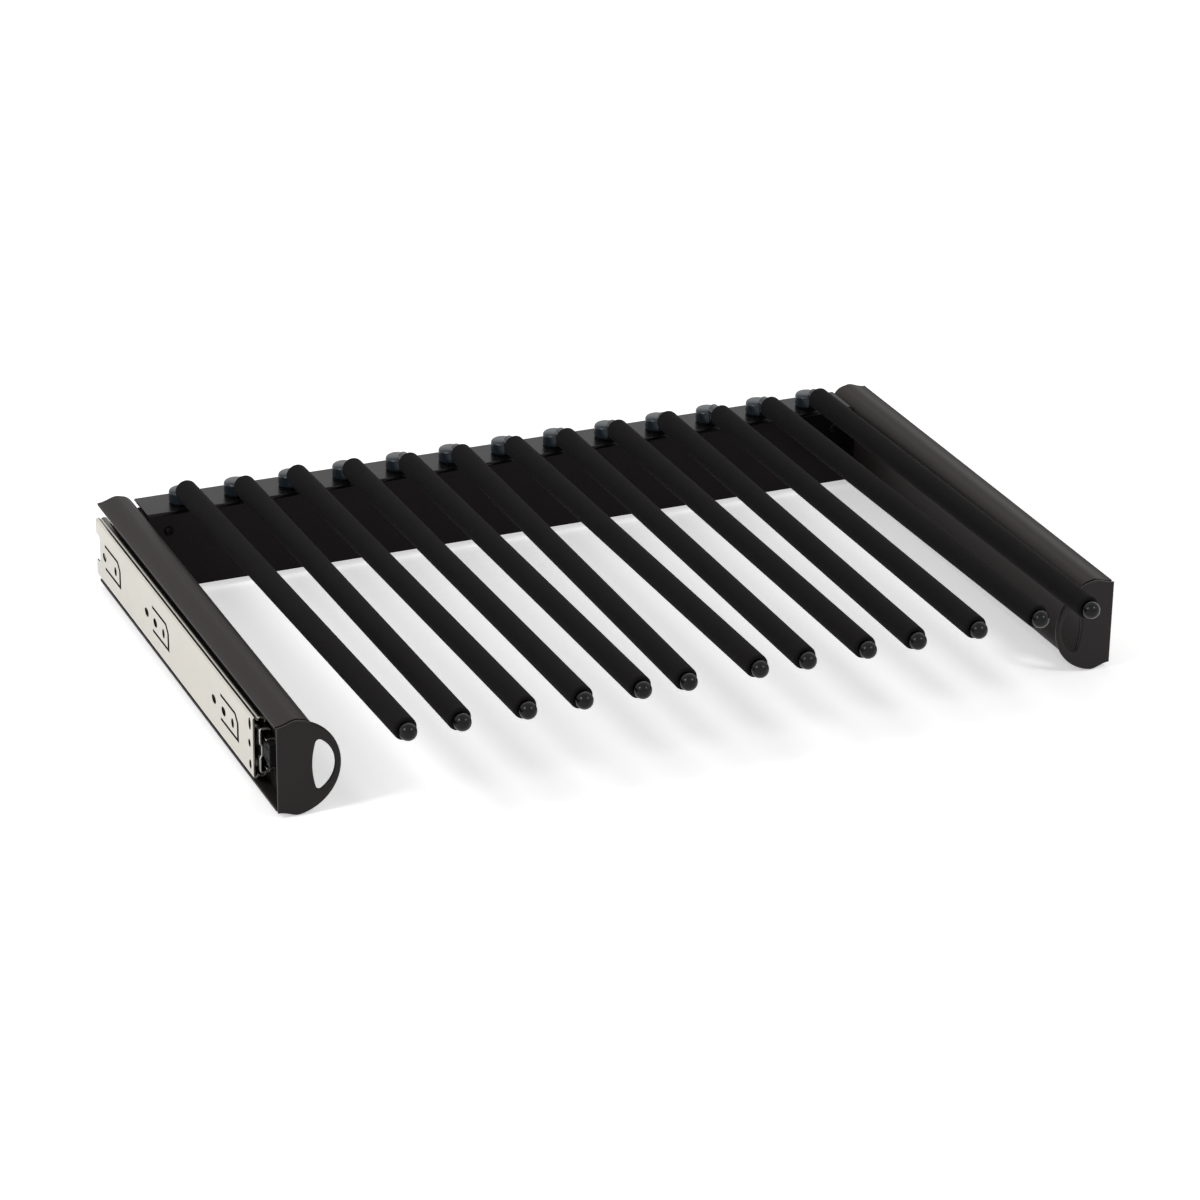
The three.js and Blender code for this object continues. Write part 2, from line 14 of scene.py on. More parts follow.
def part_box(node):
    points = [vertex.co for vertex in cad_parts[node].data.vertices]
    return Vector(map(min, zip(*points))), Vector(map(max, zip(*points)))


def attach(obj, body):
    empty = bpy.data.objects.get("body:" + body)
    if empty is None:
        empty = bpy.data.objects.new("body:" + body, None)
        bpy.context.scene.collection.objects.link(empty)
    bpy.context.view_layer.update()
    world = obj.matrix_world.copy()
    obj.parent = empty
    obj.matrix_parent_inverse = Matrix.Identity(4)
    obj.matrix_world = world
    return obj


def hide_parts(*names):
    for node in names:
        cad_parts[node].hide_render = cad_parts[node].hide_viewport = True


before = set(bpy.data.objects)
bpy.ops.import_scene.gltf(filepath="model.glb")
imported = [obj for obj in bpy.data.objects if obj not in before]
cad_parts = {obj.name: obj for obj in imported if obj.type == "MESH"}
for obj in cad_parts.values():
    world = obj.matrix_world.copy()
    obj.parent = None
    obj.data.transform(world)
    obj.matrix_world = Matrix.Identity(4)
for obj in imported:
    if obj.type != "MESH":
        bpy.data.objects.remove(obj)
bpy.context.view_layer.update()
MM = 0.001
SIDES = {"left": -1, "right": 1}
BARS = sorted(node[-2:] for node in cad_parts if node.startswith("trouser_bar_"))
print("nodes of the rack:", len(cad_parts), "of which bars:", len(BARS))


# %% Places that every piece is measured from
rail_low, rail_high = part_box("rear_rail")
slide_low, slide_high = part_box("slide_cabinet_member_left")
MIDDLE = (rail_low[2] + rail_high[2]) / 2
REAR = rail_high[1]
RAIL_TOP = rail_high[2]
HALF_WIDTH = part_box("slide_cabinet_member_right")[1][0]
LIP_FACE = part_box("side_profile_right")[1][0]
PROFILE_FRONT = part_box("side_profile_left")[0][1]
SLIDE_MIDDLE = (slide_low[2] + slide_high[2]) / 2
SLIDE_HALF = (slide_high[2] - slide_low[2]) / 2
SLIDE_FRONT = slide_low[1]
SLIDE_REAR = slide_high[1]
print("half width", HALF_WIDTH, "middle", MIDDLE, "rear", REAR)


# %% [markdown]
# Finishes, patterns and the studio are all trees of nodes, so one function adds a node to any
# tree. Settings come first, because some of them change which inputs a node has.
# %% Add a node
def add_node(tree, kind, settings, inputs):
    """A node of a tree: an input that is a socket is linked, any other is its value."""
    node = tree.nodes.new(kind)
    for name, value in settings.items():
        setattr(node, name, value)
    for name, value in inputs.items():
        if isinstance(value, bpy.types.NodeSocket):
            tree.links.new(value, node.inputs[name])
        else:
            node.inputs[name].default_value = value
    return node


print("one way to add a node:", add_node.__name__)


# %% [markdown]
# Shader maths could be linked node by node, but it reads best as plain arithmetic. The small
# class below wraps a socket, so that `1 - mask * 0.5` adds its two Math nodes by itself.
# %% Sums on sockets
class Value:
    """A number, colour or place that varies over a surface: sums on it add Math nodes."""

    def __init__(self, finish, socket):
        self.finish = finish
        self.socket = socket

    def __add__(self, other):
        return self.finish.maths("ADD", self, other)

    def __sub__(self, other):
        return self.finish.maths("SUBTRACT", self, other)

    def __rsub__(self, other):
        return self.finish.maths("SUBTRACT", other, self)

    def __mul__(self, other):
        return self.finish.maths("MULTIPLY", self, other)

    __radd__ = __add__
    __rmul__ = __mul__


print("sums give a", Value.__name__)


# %% [markdown]
# A finish is one material. Its class adds every other node and holds what the finishes share:
# noise on Object coordinates, a tint between two shades of a colour, and relief from a Bump
# node, which gives a surface its grain without a single extra face.
# %% A finish
def shade(color, factor):
    return tuple(channel * factor for channel in color) + (1,)


class Finish:
    """One material on Object coordinates. With warm below 1, what it mirrors is reddened."""

    def __init__(self, name, metallic=0.0, specular=0.5, warm=1.0):
        self.material = bpy.data.materials.new(name)
        self.material.use_nodes = True
        self.tree = self.material.node_tree
        self.tree.nodes.clear()
        self.shader = add_node(self.tree, "ShaderNodeBsdfPrincipled", {}, {
            "Metallic": metallic, "Specular IOR Level": specular,
            "Specular Tint": (1, warm, warm, 1)})
        add_node(self.tree, "ShaderNodeOutputMaterial", {},
                 {"Surface": self.shader.outputs["BSDF"]})
        self.place = self.add("ShaderNodeTexCoord", {}, {}, "Object")

    def add(self, kind, settings, inputs, output=0):
        inputs = {name: value.socket if isinstance(value, Value) else value
                  for name, value in inputs.items()}
        return Value(self, add_node(self.tree, kind, settings, inputs).outputs[output])

    def maths(self, operation, *values):
        return self.add("ShaderNodeMath", {"operation": operation}, dict(enumerate(values)))

    def axis(self, letter):
        """How far along X, Y or Z a point of the surface lies."""
        return self.add("ShaderNodeSeparateXYZ", {}, {"Vector": self.place}, letter)

    def noise(self, scale, detail=3.0, roughness=0.5):
        """Noise with so many waves in a metre, or with so many along each axis."""
        place = self.place
        if isinstance(scale, tuple):
            place = self.add("ShaderNodeMapping", {}, {"Vector": place, "Scale": scale})
            scale = 1.0
        return self.add("ShaderNodeTexNoise", {}, {
            "Vector": place, "Scale": scale, "Detail": detail, "Roughness": roughness})

    def mix(self, factor, first, second):
        """Two colours mixed. A Mix node keeps them at inputs 6 and 7, and gives output 2."""
        return self.add("ShaderNodeMix", {"data_type": "RGBA"},
                        {0: factor, 6: first, 7: second}, 2)

    def tint(self, tone, color, darkest, lightest):
        return self.mix(tone, shade(color, darkest), shade(color, lightest))

    def made(self, color, roughness, height, strength, depth):
        """The material, once its colour, its roughness and its relief are linked."""
        normal = self.add("ShaderNodeBump", {}, {
            "Height": height, "Strength": strength, "Distance": depth})
        for name, value in {"Base Color": color, "Roughness": roughness,
                            "Normal": normal}.items():
            self.tree.links.new(value.socket, self.shader.inputs[name])
        return self.material


print("materials are made by a", Finish.__name__)


# %% [markdown]
# The profiles are black anodised aluminium. The press leaves very fine lines along their
# length, and the warm black dye takes a little unevenly, in streaks. An image could show
# both, but noise stretched along the profile does it at any size and has no seam.
# %% Anodised profile
def anodised_profile():
    color = (0.0215, 0.0187, 0.0180)
    finish = Finish("black anodised aluminium", specular=0.12, warm=0.8)
    lines = finish.noise((2600, 9, 2600), 2.0, 0.6)
    streaks = finish.noise((190, 2.5, 190), 2.0)
    tint = finish.tint(lines * 0.35 + streaks * 0.65, color, 0.7, 1.3)
    rough = 0.40 + lines * 0.1 + streaks * 0.12
    return finish.made(tint, rough, lines, 0.1, 0.06 * MM)


PROFILE_BLACK = anodised_profile()
print("made", PROFILE_BLACK.name)


# %% [markdown]
# The caps, holders and buffers are moulded plastic. A mould leaves an even, fine grain, so
# these finishes share one function: a tiny bump for the grain and a slow change in sheen.
# A low specular level keeps the slopes black that turn away from the camera.
# %% Moulded plastics
def moulded(name, color, roughness, grain, depth, specular, warm=1.0):
    finish = Finish(name, specular=specular, warm=warm)
    fine = finish.noise(grain, 2.0, 0.6)
    slow = finish.noise(35)
    rough = roughness - 0.07 + fine * 0.08 + slow * 0.06
    return finish.made(finish.tint(slow, color, 0.82, 1.2), rough, fine, 0.2, depth)


CAP_BLACK = moulded("cap plastic", (0.0105, 0.0092, 0.0094), roughness=0.4, grain=1500,
                    depth=0.05 * MM, specular=0.2, warm=0.9)
HOLDER_GREY = moulded("holder plastic", (0.012, 0.019, 0.026), roughness=0.3, grain=1200,
                      depth=0.04 * MM, specular=0.4)
BUFFER_GREY = moulded("buffer plastic", (0.011, 0.011, 0.012), roughness=0.55, grain=900,
                      depth=0.06 * MM, specular=0.1)
print("moulded plastics:", CAP_BLACK.name, HOLDER_GREY.name, BUFFER_GREY.name)


# %% [markdown]
# The rail and the screws are steel under black powder. Cured powder has a soft orange-peel
# surface: shallow waves about a millimetre long, which break the reflections a little. Small
# Voronoi cells stand for the grains of the powder.
# %% Powder coat
def powder_coat(name, color, roughness, specular=0.08):
    finish = Finish(name, specular=specular, warm=0.88)
    peel = finish.noise(750, 2.0, 0.45)
    grains = finish.add("ShaderNodeTexVoronoi", {}, {"Vector": finish.place, "Scale": 2600})
    tint = finish.tint(grains, color, 0.8, 1.2)
    return finish.made(tint, roughness - 0.05 + peel * 0.1, peel, 0.22, 0.12 * MM)


RAIL_BLACK = powder_coat("black powder coat", (0.0030, 0.0024, 0.0026), roughness=0.26,
                         specular=0.12)
SCREW_BLACK = powder_coat("blackened steel", (0.003, 0.003, 0.003), roughness=0.4)
BLOCK_GREY = powder_coat("blackened die-cast zinc", (0.006, 0.006, 0.006), roughness=0.6)
print("powder coats:", RAIL_BLACK.name, SCREW_BLACK.name, BLOCK_GREY.name)


# %% [markdown]
# Ball slides are packed with dark grease, and the same dark colour also paints the shade
# inside them. It covers the inside of the wall channel and the members within it, darkest
# near their front ends, where the recess lies in shade, and lighter behind. The walls of the
# punched holes are painted dark in full, as shade. On the rolls it is painted shade and a
# painted dark reflection of the profile's lip, but for a line along each crest that is left
# clean to catch the light. The outside is clean, and so is the strip's sheared end. A second
# material would need its faces picked by hand, so the place on the piece says where the
# painted grease and shade lie.
# %% Where the painted grease and shade lie
# a dark grease colour, which also paints the shade inside the slides
GREASE_AND_SHADE = (0.055, 0.052, 0.045, 1)
GREASE_ROUGHNESS = 0.25
SHEARED = 0.8 * MM
# painted shade of the front recess: full for this far behind a front end, then lighter over the
# next stretch
DARKEST_REACH = 15 * MM
FADES_OVER = 45 * MM
FADED_SHARE = 0.4
OUTER_SKIN = 0.15 * MM
INNER_FACE = 1.05 * MM
PAST_BEND = 1.5 * MM
# across each roll, a band left out of the painted shade, where the crest catches the light
BRIGHT_CREST = (3.5 * MM, 4.3 * MM)
ROLL_HEIGHT = 2.4 * MM


def faded(finish, along, front):
    """How far the painted grease and shade lightens: none near a member's front, more behind
    it.
    """
    share = (along - (front + DARKEST_REACH)) * (1 / FADES_OVER)
    return finish.maths("MINIMUM", finish.maths("MAXIMUM", share, 0), 1) * FADED_SHARE


def grease_and_shade_in_channel(finish):
    """1 for grease and painted shade: inside the wall channel, and on its rolls but for a
    bright crest.
    """
    inset = HALF_WIDTH - finish.maths("ABSOLUTE", finish.axis("X"))
    rise = finish.maths("ABSOLUTE", finish.axis("Z") - SLIDE_MIDDLE)
    along = finish.axis("Y")
    behind = finish.maths("GREATER_THAN", along, SLIDE_FRONT + SHEARED)
    web = finish.maths("LESS_THAN", rise, SLIDE_HALF - ROLL_HEIGHT)
    # the walls of the punched holes stay fully dark as painted shade; past the bend the roll
    # gets painted shade and a painted dark reflection of the profile's lip
    inward, face, bent, past_valley, clear = [
        finish.maths("GREATER_THAN", inset, limit)
        for limit in (OUTER_SKIN, INNER_FACE, PAST_BEND, *BRIGHT_CREST)]
    on_web = inward * web * (1 - faded(finish, along, SLIDE_FRONT) * face)
    on_roll = (1 - web) * bent * (1 - past_valley * (1 - clear))
    return behind * (on_web + on_roll)


def grease_and_shade_behind_end(node):
    """Painted grease and shade on a member: none on its sheared front end, darkest behind it,
    then lighter.
    """
    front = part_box(node)[0][1]

    def grease_and_shade_mask(finish):
        along = finish.axis("Y")
        behind = finish.maths("GREATER_THAN", along, front + SHEARED)
        return behind * (1 - faded(finish, along, front))
    return grease_and_shade_mask


print("painted grease and shade fades over", FADES_OVER / MM, "mm")


# %% [markdown]
# The slides are strip steel with bright zinc on it: a light, slightly yellow grey. Rolling
# lines run along the strip, and the zinc clouds a little from place to place. Both are noise,
# as on the profiles. A metal shows what stands round it, tinted by its own colour, so this
# finish is kept nearly all metal.
# %% Zinc-plated strip
def zinc(name, color, roughness, grease_and_shade=None):
    finish = Finish(name, metallic=0.95)
    rolled = finish.noise((1500, 14, 1500), 3.0, 0.65)
    cloud = finish.noise(48, 4.0, 0.6)
    tint = finish.tint(cloud * 0.7 + rolled * 0.3, color, 0.9, 1.07)
    rough = roughness - 0.06 + rolled * 0.09 + cloud * 0.05
    # where grease and painted shade lie, the zinc turns dark and takes the grease's roughness
    if grease_and_shade:
        grease_and_shade_mask = grease_and_shade(finish)
        tint = finish.mix(grease_and_shade_mask, tint, GREASE_AND_SHADE)
        rough = rough + grease_and_shade_mask * (GREASE_ROUGHNESS - roughness)
    return finish.made(tint, rough, rolled, 0.12, 0.05 * MM)


ZINC = zinc("zinc-plated strip", (0.585, 0.560, 0.505), roughness=0.3, grease_and_shade=grease_and_shade_in_channel)
# the middle member's zinc is lighter than the other strips, so that its clean front end shows
# as a bright line: a painted highlight
ZINC_MIDDLE = zinc("middle zinc, painted grease, shade and edge highlight", (0.80, 0.78, 0.74), roughness=0.3,
                   grease_and_shade=grease_and_shade_behind_end("slide_middle_member_left"))
ZINC_DRAWER = zinc("drawer zinc, painted grease and shade", (0.62, 0.60, 0.56), roughness=0.26,
                   grease_and_shade=grease_and_shade_behind_end("slide_drawer_member_left"))
CAGE = zinc("cage strip", (0.12, 0.105, 0.08), roughness=0.34)
BALL_STEEL = zinc("ball steel", (0.55, 0.55, 0.56), roughness=0.16)
print("strip finishes:", ZINC.name, CAGE.name, BALL_STEEL.name)


# %% [markdown]
# Foam rubber is the dullest thing on the rack. Its skin is a crust of closed cells, half a
# millimetre wide, with fine scuffs along the sleeve. Smooth Voronoi cells give the crust in
# relief, which soaks up highlights better than a high roughness alone does.
# %% Foam
def foam_skin():
    color = (0.0068, 0.0060, 0.0064)
    finish = Finish("foam rubber", specular=0.08)
    cells = finish.add("ShaderNodeTexVoronoi", {"feature": "SMOOTH_F1"},
                       {"Vector": finish.place, "Scale": 2100, "Smoothness": 0.6})
    scuffs = finish.noise((900, 45, 900), 3.0, 0.6)
    worn = finish.noise(60)
    tint = finish.tint(cells * 0.5 + scuffs * 0.3 + worn * 0.3, color, 0.6, 1.7)
    rough = 0.80 + cells * 0.1 + scuffs * 0.08
    return finish.made(tint, rough, cells + scuffs * 0.5, 0.35, 0.22 * MM)


FOAM = foam_skin()
print("made", FOAM.name)


# %% [markdown]
# The rods and the balls on their ends are painted gloss black. Paint levels out as it dries,
# so its relief is very shallow and wide, and only some dust spoils the gloss. A clear coat
# over a black base would do as well, but one smooth layer gives the same reflections.
# %% Gloss paint
def gloss_paint():
    color = (0.0030, 0.0028, 0.0031)
    finish = Finish("gloss black", specular=0.2)
    peel = finish.noise(260, 2.0)
    dust = finish.noise(1800, 2.0)
    tint = finish.tint(dust, color, 0.8, 1.3)
    return finish.made(tint, 0.20 + dust * 0.06, peel, 0.06, 0.1 * MM)


GLOSS = gloss_paint()
print("made", GLOSS.name)


# %% [markdown]
# Most pieces of the rack are sections run out along a line, or turned. A section is a list of
# points. The helpers below draw arcs, mirror a half, round corners and give a line the
# thickness of a sheet.
# %% Outlines
TOUCHING = 0.0001 * MM


def polar(x, y, radius, angle):
    return Vector((x + radius * cos(radians(angle)), y + radius * sin(radians(angle))))


def degrees_of(v):
    return degrees(atan2(v.y, v.x))


def arc(x, y, radius, start, end, steps):
    return [polar(x, y, radius, start + (end - start) * i / steps) for i in range(steps + 1)]


def in_mm(*corners):
    return [Vector(corner) * MM for corner in corners]


def mirrored(half):
    """The upper half of an outline, and the same below the middle line, run back."""
    lower = [Vector((p.x, -p.y)) for p in reversed(half)]
    return half + lower[1 if abs(half[-1].y) < TOUCHING else 0:]


print("points closer than", TOUCHING / MM, "mm are one point")


# %% Lines made parallel, rounded or thick
# a bend takes up to this share of the shorter side at its corner
CORNER_SHARE = 0.495
STRAIGHT = 178
CLOSE = 0.05 * MM


def offset(line, distance):
    """The line moved to the right of the way it runs."""
    moved = []
    for i, p in enumerate(line):
        after = (line[i + 1] - p).normalized() if i + 1 < len(line) else None
        before = (p - line[i - 1]).normalized() if i else after
        after = after or before
        along = (before + after).normalized()
        step = distance / along.dot(after)
        moved.append(Vector((p.x + along.y * step, p.y - along.x * step)))
    return moved


def rounded(line, radius, steps=6):
    """The line with an arc at each inner corner, and no point that repeats the last."""
    out = [line[0]]
    for before, p, after in zip(line, line[1:], line[2:]):
        a = (before - p).normalized()
        b = (after - p).normalized()
        half = a.angle(b) / 2
        if half > radians(STRAIGHT) / 2:
            out.append(p)
            continue
        side = min((before - p).length, (after - p).length)
        reach = min(radius / tan(half), side * CORNER_SHARE)
        centre = p + (a + b).normalized() * (reach / cos(half))
        first, last = p + a * reach - centre, p + b * reach - centre
        start = degrees_of(first)
        turn = (degrees_of(last) - start + 180) % 360 - 180
        bend = arc(centre.x, centre.y, first.length, start, start + turn, steps)
        out += bend[1 if (bend[0] - out[-1]).length < CLOSE else 0:]
    return out + [line[-1]]


def strip(line, thickness):
    return offset(line, -thickness / 2) + list(reversed(offset(line, thickness / 2)))


print("an angle of more than", STRAIGHT, "degrees counts as straight")


# %% [markdown]
# A filled curve turns an outline into a solid with broken edges and needs no modifier. Turned
# pieces are spun, and a copy of a solid gets a bevel. Whatever the way, a piece ends as a
# plain mesh with its place in it, and its flat faces stay flat in the light.
# %% Plain meshes
WELD = 0.002 * MM


def object_of(name, mesh):
    piece = bpy.data.objects.new(name, mesh)
    bpy.context.collection.objects.link(piece)
    return piece


def welded(mesh):
    """Doubles are merged and faces are turned outwards."""
    work = bmesh.new()
    work.from_mesh(mesh)
    bmesh.ops.remove_doubles(work, verts=work.verts, dist=WELD)
    bmesh.ops.recalc_face_normals(work, faces=work.faces)
    work.to_mesh(mesh)
    work.free()


def as_mesh(source, name):
    """The evaluated shape of an object as a plain mesh. The source goes, and frees its name."""
    graph = bpy.context.evaluated_depsgraph_get()
    mesh = bpy.data.meshes.new_from_object(source.evaluated_get(graph))
    piece = object_of(name, mesh)
    data = source.data
    bpy.data.objects.remove(source)
    if isinstance(data, bpy.types.Curve):
        bpy.data.curves.remove(data)
    piece.name = name
    return piece


print("points closer than", WELD / MM, "mm are welded")


# %% What every piece gets
def finish_mesh(piece, material, angle=40):
    """One material, and smooth shading that stops at true edges and keeps flat faces flat."""
    mesh = piece.data
    mesh.materials.clear()
    mesh.materials.append(material)
    mesh.polygons.foreach_set("material_index", [0] * len(mesh.polygons))
    mesh.shade_smooth()
    mesh.set_sharp_from_angle(angle=radians(angle))
    even = piece.modifiers.new("even", "WEIGHTED_NORMAL")
    even.keep_sharp = True
    graph = bpy.context.evaluated_depsgraph_get()
    piece.data = bpy.data.meshes.new_from_object(piece.evaluated_get(graph))
    piece.modifiers.clear()
    bpy.data.meshes.remove(mesh)
    return piece


def settle(piece, body, slot, *nodes):
    """The piece rides on its body and stands for its solids, which are hidden; its slot is not
    used.
    """
    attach(piece, body)
    if nodes:
        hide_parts(*nodes)


print("the last step of every piece:", settle.__name__)


# %% Solids from outlines
def prism(name, outlines, depth, edge):
    """Outlines filled and run out by depth along Z, holes included, with rounded edges."""
    curve = bpy.data.curves.new(name, "CURVE")
    curve.dimensions = "2D"
    curve.fill_mode = "BOTH"
    curve.extrude = depth / 2 - edge
    curve.bevel_depth = edge
    curve.bevel_resolution = 3
    curve.offset = -edge
    for outline in outlines:
        spline = curve.splines.new("POLY")
        spline.points.add(len(outline) - 1)
        spline.points.foreach_set("co", [c for p in outline for c in (p.x, p.y, 0, 1)])
        spline.use_cyclic_u = True
    piece = as_mesh(object_of(name, curve), name)
    welded(piece.data)
    return piece


def run_forward(name, side, face, outlines, rear, front, edge):
    """A section drawn inward from the outside of one side, run from rear to front."""
    placed = [[Vector((side * (face - p.x), p.y)) for p in line] for line in outlines]
    piece = prism(name, placed, rear - front, edge)
    piece.data.transform(Matrix.Translation((0, (rear + front) / 2, 0))
                         @ Matrix.Rotation(pi / 2, 4, "X"))
    return piece


def turned(name, outline, sides, place):
    """A turned piece: (radius, height) from one end of its axis to the other."""
    work = bmesh.new()
    points = [work.verts.new((p[0], 0, p[1])) for p in outline]
    edges = [work.edges.new(pair) for pair in zip(points, points[1:])]
    bmesh.ops.spin(work, geom=points + edges, cent=(0, 0, 0), axis=(0, 0, 1),
                   angle=2 * pi, steps=sides, use_merge=True, use_duplicate=False)
    bmesh.ops.remove_doubles(work, verts=work.verts, dist=TOUCHING)
    bmesh.ops.recalc_face_normals(work, faces=work.faces)
    mesh = bpy.data.meshes.new(name)
    work.to_mesh(mesh)
    work.free()
    mesh.transform(place)
    return object_of(name, mesh)


print("sections run forward, turned pieces spin")


# %% Solids from solids
EASED_ANGLE = 28
FLAT_WITHIN = 0.5


def joined(name, pieces):
    """Several meshes as one object, without any change to their shapes."""
    work = bmesh.new()
    for piece in pieces:
        work.from_mesh(piece.data)
        data = piece.data
        bpy.data.objects.remove(piece)
        bpy.data.meshes.remove(data)
    mesh = bpy.data.meshes.new(name)
    work.to_mesh(mesh)
    work.free()
    return object_of(name, mesh)


def cut_or_joined(name, first, others, operation, solver="MANIFOLD"):
    """first with the other solids taken out of it, or added to it."""
    for other in others:
        step = first.modifiers.new("step", "BOOLEAN")
        step.operation = operation
        step.solver = solver
        step.object = other
    piece = as_mesh(first, name)
    for other in others:
        bpy.data.objects.remove(other)
    return piece


def bevelled(piece, name, width, angle):
    bevel = piece.modifiers.new("edges", "BEVEL")
    bevel.width = width
    bevel.segments = 2
    bevel.limit_method = "ANGLE"
    bevel.angle_limit = radians(angle)
    return as_mesh(piece, name)


def eased(name, node, width):
    """A copy of a solid, its loose triangles merged, with edges rounded by a small width."""
    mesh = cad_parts[node].data.copy()
    work = bmesh.new()
    work.from_mesh(mesh)
    bmesh.ops.remove_doubles(work, verts=work.verts, dist=WELD)
    bmesh.ops.dissolve_limit(work, angle_limit=radians(FLAT_WITHIN), verts=work.verts,
                             edges=work.edges)
    work.to_mesh(mesh)
    work.free()
    return bevelled(object_of(name, mesh), name, width, EASED_ANGLE)


print("edges sharper than", EASED_ANGLE, "degrees are eased")


# %% [markdown]
# The side profile is the main form. Seen from the front, an ogee leads from the lip tip up
# to the crest, the crest follows the big circle that the end cap carries right round, a
# tighter roll makes the shoulder, and a wide hollow makes the waist. Arcs and one Bezier
# curve give the section, so that it stays smooth under long highlights.
# %% Section of the profile
LIP_HALF_HEIGHT = 31 * MM
WALL = 1.8 * MM
OGEE_LEAD = 6.5 * MM
OGEE_TAIL = 5 * MM
RING_RADIUS = 34.8 * MM
RING_CENTRE = 9.5 * MM
ROLL_RADIUS = 11 * MM
WAIST_RADIUS = 59 * MM
CREST_ANGLE = 80
SHOULDER_ANGLE = 73
WEB_INSET = 11.2 * MM
FIT_GAP = 0.3 * MM

SHOULDER = polar(RING_CENTRE, 0, RING_RADIUS - ROLL_RADIUS, SHOULDER_ANGLE)
WAIST_CENTRE = SHOULDER.x + sqrt((WAIST_RADIUS + ROLL_RADIUS) ** 2 - SHOULDER.y ** 2)
CREST = polar(RING_CENTRE, 0, RING_RADIUS, CREST_ANGLE)
print("crest at", [round(c / MM, 1) for c in CREST], "mm")


# %% Lines of the section
def bezier(a, b, c, d, steps):
    out = []
    for i in range(steps + 1):
        t = i / steps
        u = 1 - t
        out.append(a * u ** 3 + b * 3 * u * u * t + c * 3 * u * t * t + d * t ** 3)
    return out


def ogee():
    tip, lead = Vector((0, LIP_HALF_HEIGHT)), Vector((OGEE_LEAD, LIP_HALF_HEIGHT))
    return bezier(tip, lead, polar(CREST.x, CREST.y, OGEE_TAIL, CREST_ANGLE + 90), CREST, 18)


def outside_half():
    turn = -degrees_of(Vector((WAIST_CENTRE, 0)) - SHOULDER)
    roll = arc(SHOULDER.x, SHOULDER.y, ROLL_RADIUS, SHOULDER_ANGLE, -turn, 26)
    waist = arc(WAIST_CENTRE, 0, WAIST_RADIUS, 180 - turn, 180, 12)
    return ogee() + roll + waist[1:]


def cut_at(line, x):
    """The two stretches of a line before and after it first passes x."""
    i = next(k for k, p in enumerate(line) if p.x > x)
    on = line[i - 1].lerp(line[i], (x - line[i - 1].x) / (line[i].x - line[i - 1].x))
    return line[:i] + [on], [on] + line[i:]


def profile_outlines():
    """The wall with its open channel, and the closed chamber behind it."""
    outside = outside_half()
    inside = offset(outside, WALL)
    channel, _ = cut_at(inside, WEB_INSET)
    _, chamber = cut_at(inside, WEB_INSET + WALL)
    return [mirrored(outside) + list(reversed(mirrored(channel))), mirrored(chamber)]


print("points in the profile's section:", sum(len(line) for line in profile_outlines()))


# %% Side profiles
PROFILE_EDGE = 0.12 * MM


def raise_to_middle(piece):
    piece.data.transform(Matrix.Translation((0, 0, MIDDLE)))


for word, side in SIDES.items():
    piece = run_forward(f"side_extrusion_{word}", side, LIP_FACE, profile_outlines(), REAR,
                        PROFILE_FRONT, PROFILE_EDGE)
    raise_to_middle(finish_mesh(piece, PROFILE_BLACK))
    settle(piece, "rack", "profile_black", f"side_profile_{word}")
print("side profiles done, each with", len(piece.data.polygons), "faces")


# %% [markdown]
# The end cap is a moulded plate with the same ogee lips, but its big arc goes right round
# to make a finger ring. The finger hole has one arc that follows the ring and one that
# follows the waist of the profile behind it. Its edges are well rounded, because a hand
# pulls on them, and a plug on its back sits in the profile's chamber. Both are filled curves:
# the hole is a second outline inside the first, so nothing has to be cut.
# %% End caps
GRIP_RADIUS = 21.1 * MM
GRIP_CENTRE = 19 * MM
GRIP_MARGIN = 0.75 * MM
GRIP_CORNER = 2.5 * MM
CAP_EDGE = 1.35 * MM
CAP_THICKNESS = 4 * MM
PLUG_DEPTH = 8 * MM
SHADOW_GAP = 0.8 * MM


def grip_outline():
    hollow = WAIST_RADIUS - GRIP_MARGIN
    span = WAIST_CENTRE - GRIP_CENTRE
    near, far = GRIP_RADIUS - GRIP_CORNER, hollow - GRIP_CORNER
    x = (span ** 2 + near ** 2 - far ** 2) / (2 * span)
    corner = Vector((GRIP_CENTRE + x, sqrt(near ** 2 - x ** 2)))
    ring = degrees_of(corner - Vector((GRIP_CENTRE, 0)))
    waist = degrees_of(corner - Vector((WAIST_CENTRE, 0)))
    upper = arc(GRIP_CENTRE, 0, GRIP_RADIUS, 0, ring, 20)
    upper += arc(corner.x, corner.y, GRIP_CORNER, ring, waist, 10)[1:]
    upper += arc(WAIST_CENTRE, 0, hollow, waist, 180, 10)[1:]
    return upper + [Vector((p.x, -p.y)) for p in reversed(upper[1:-1])]


def cap_outline():
    ring = arc(RING_CENTRE, 0, RING_RADIUS, CREST_ANGLE, 0, 40)
    return mirrored(ogee() + ring[1:])


for word, side in SIDES.items():
    node = f"end_cap_{word}"
    front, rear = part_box(node)[0][1], PROFILE_FRONT - FIT_GAP
    plate = run_forward(node + "_plate", side, LIP_FACE, [cap_outline(), grip_outline()],
                        rear - SHADOW_GAP, front, CAP_EDGE)
    _, chamber = cut_at(offset(outside_half(), WALL + FIT_GAP), WEB_INSET + WALL + FIT_GAP)
    plug = run_forward(node + "_plug", side, LIP_FACE, [mirrored(chamber)], rear + PLUG_DEPTH,
                       rear - CAP_THICKNESS / 2, PROFILE_EDGE)
    piece = joined(f"finger_cap_{word}", [plate, plug])
    raise_to_middle(finish_mesh(piece, CAP_BLACK))
    settle(piece, "rack", "cap_black", node)
print("end caps done, each with", len(piece.data.polygons), "faces")


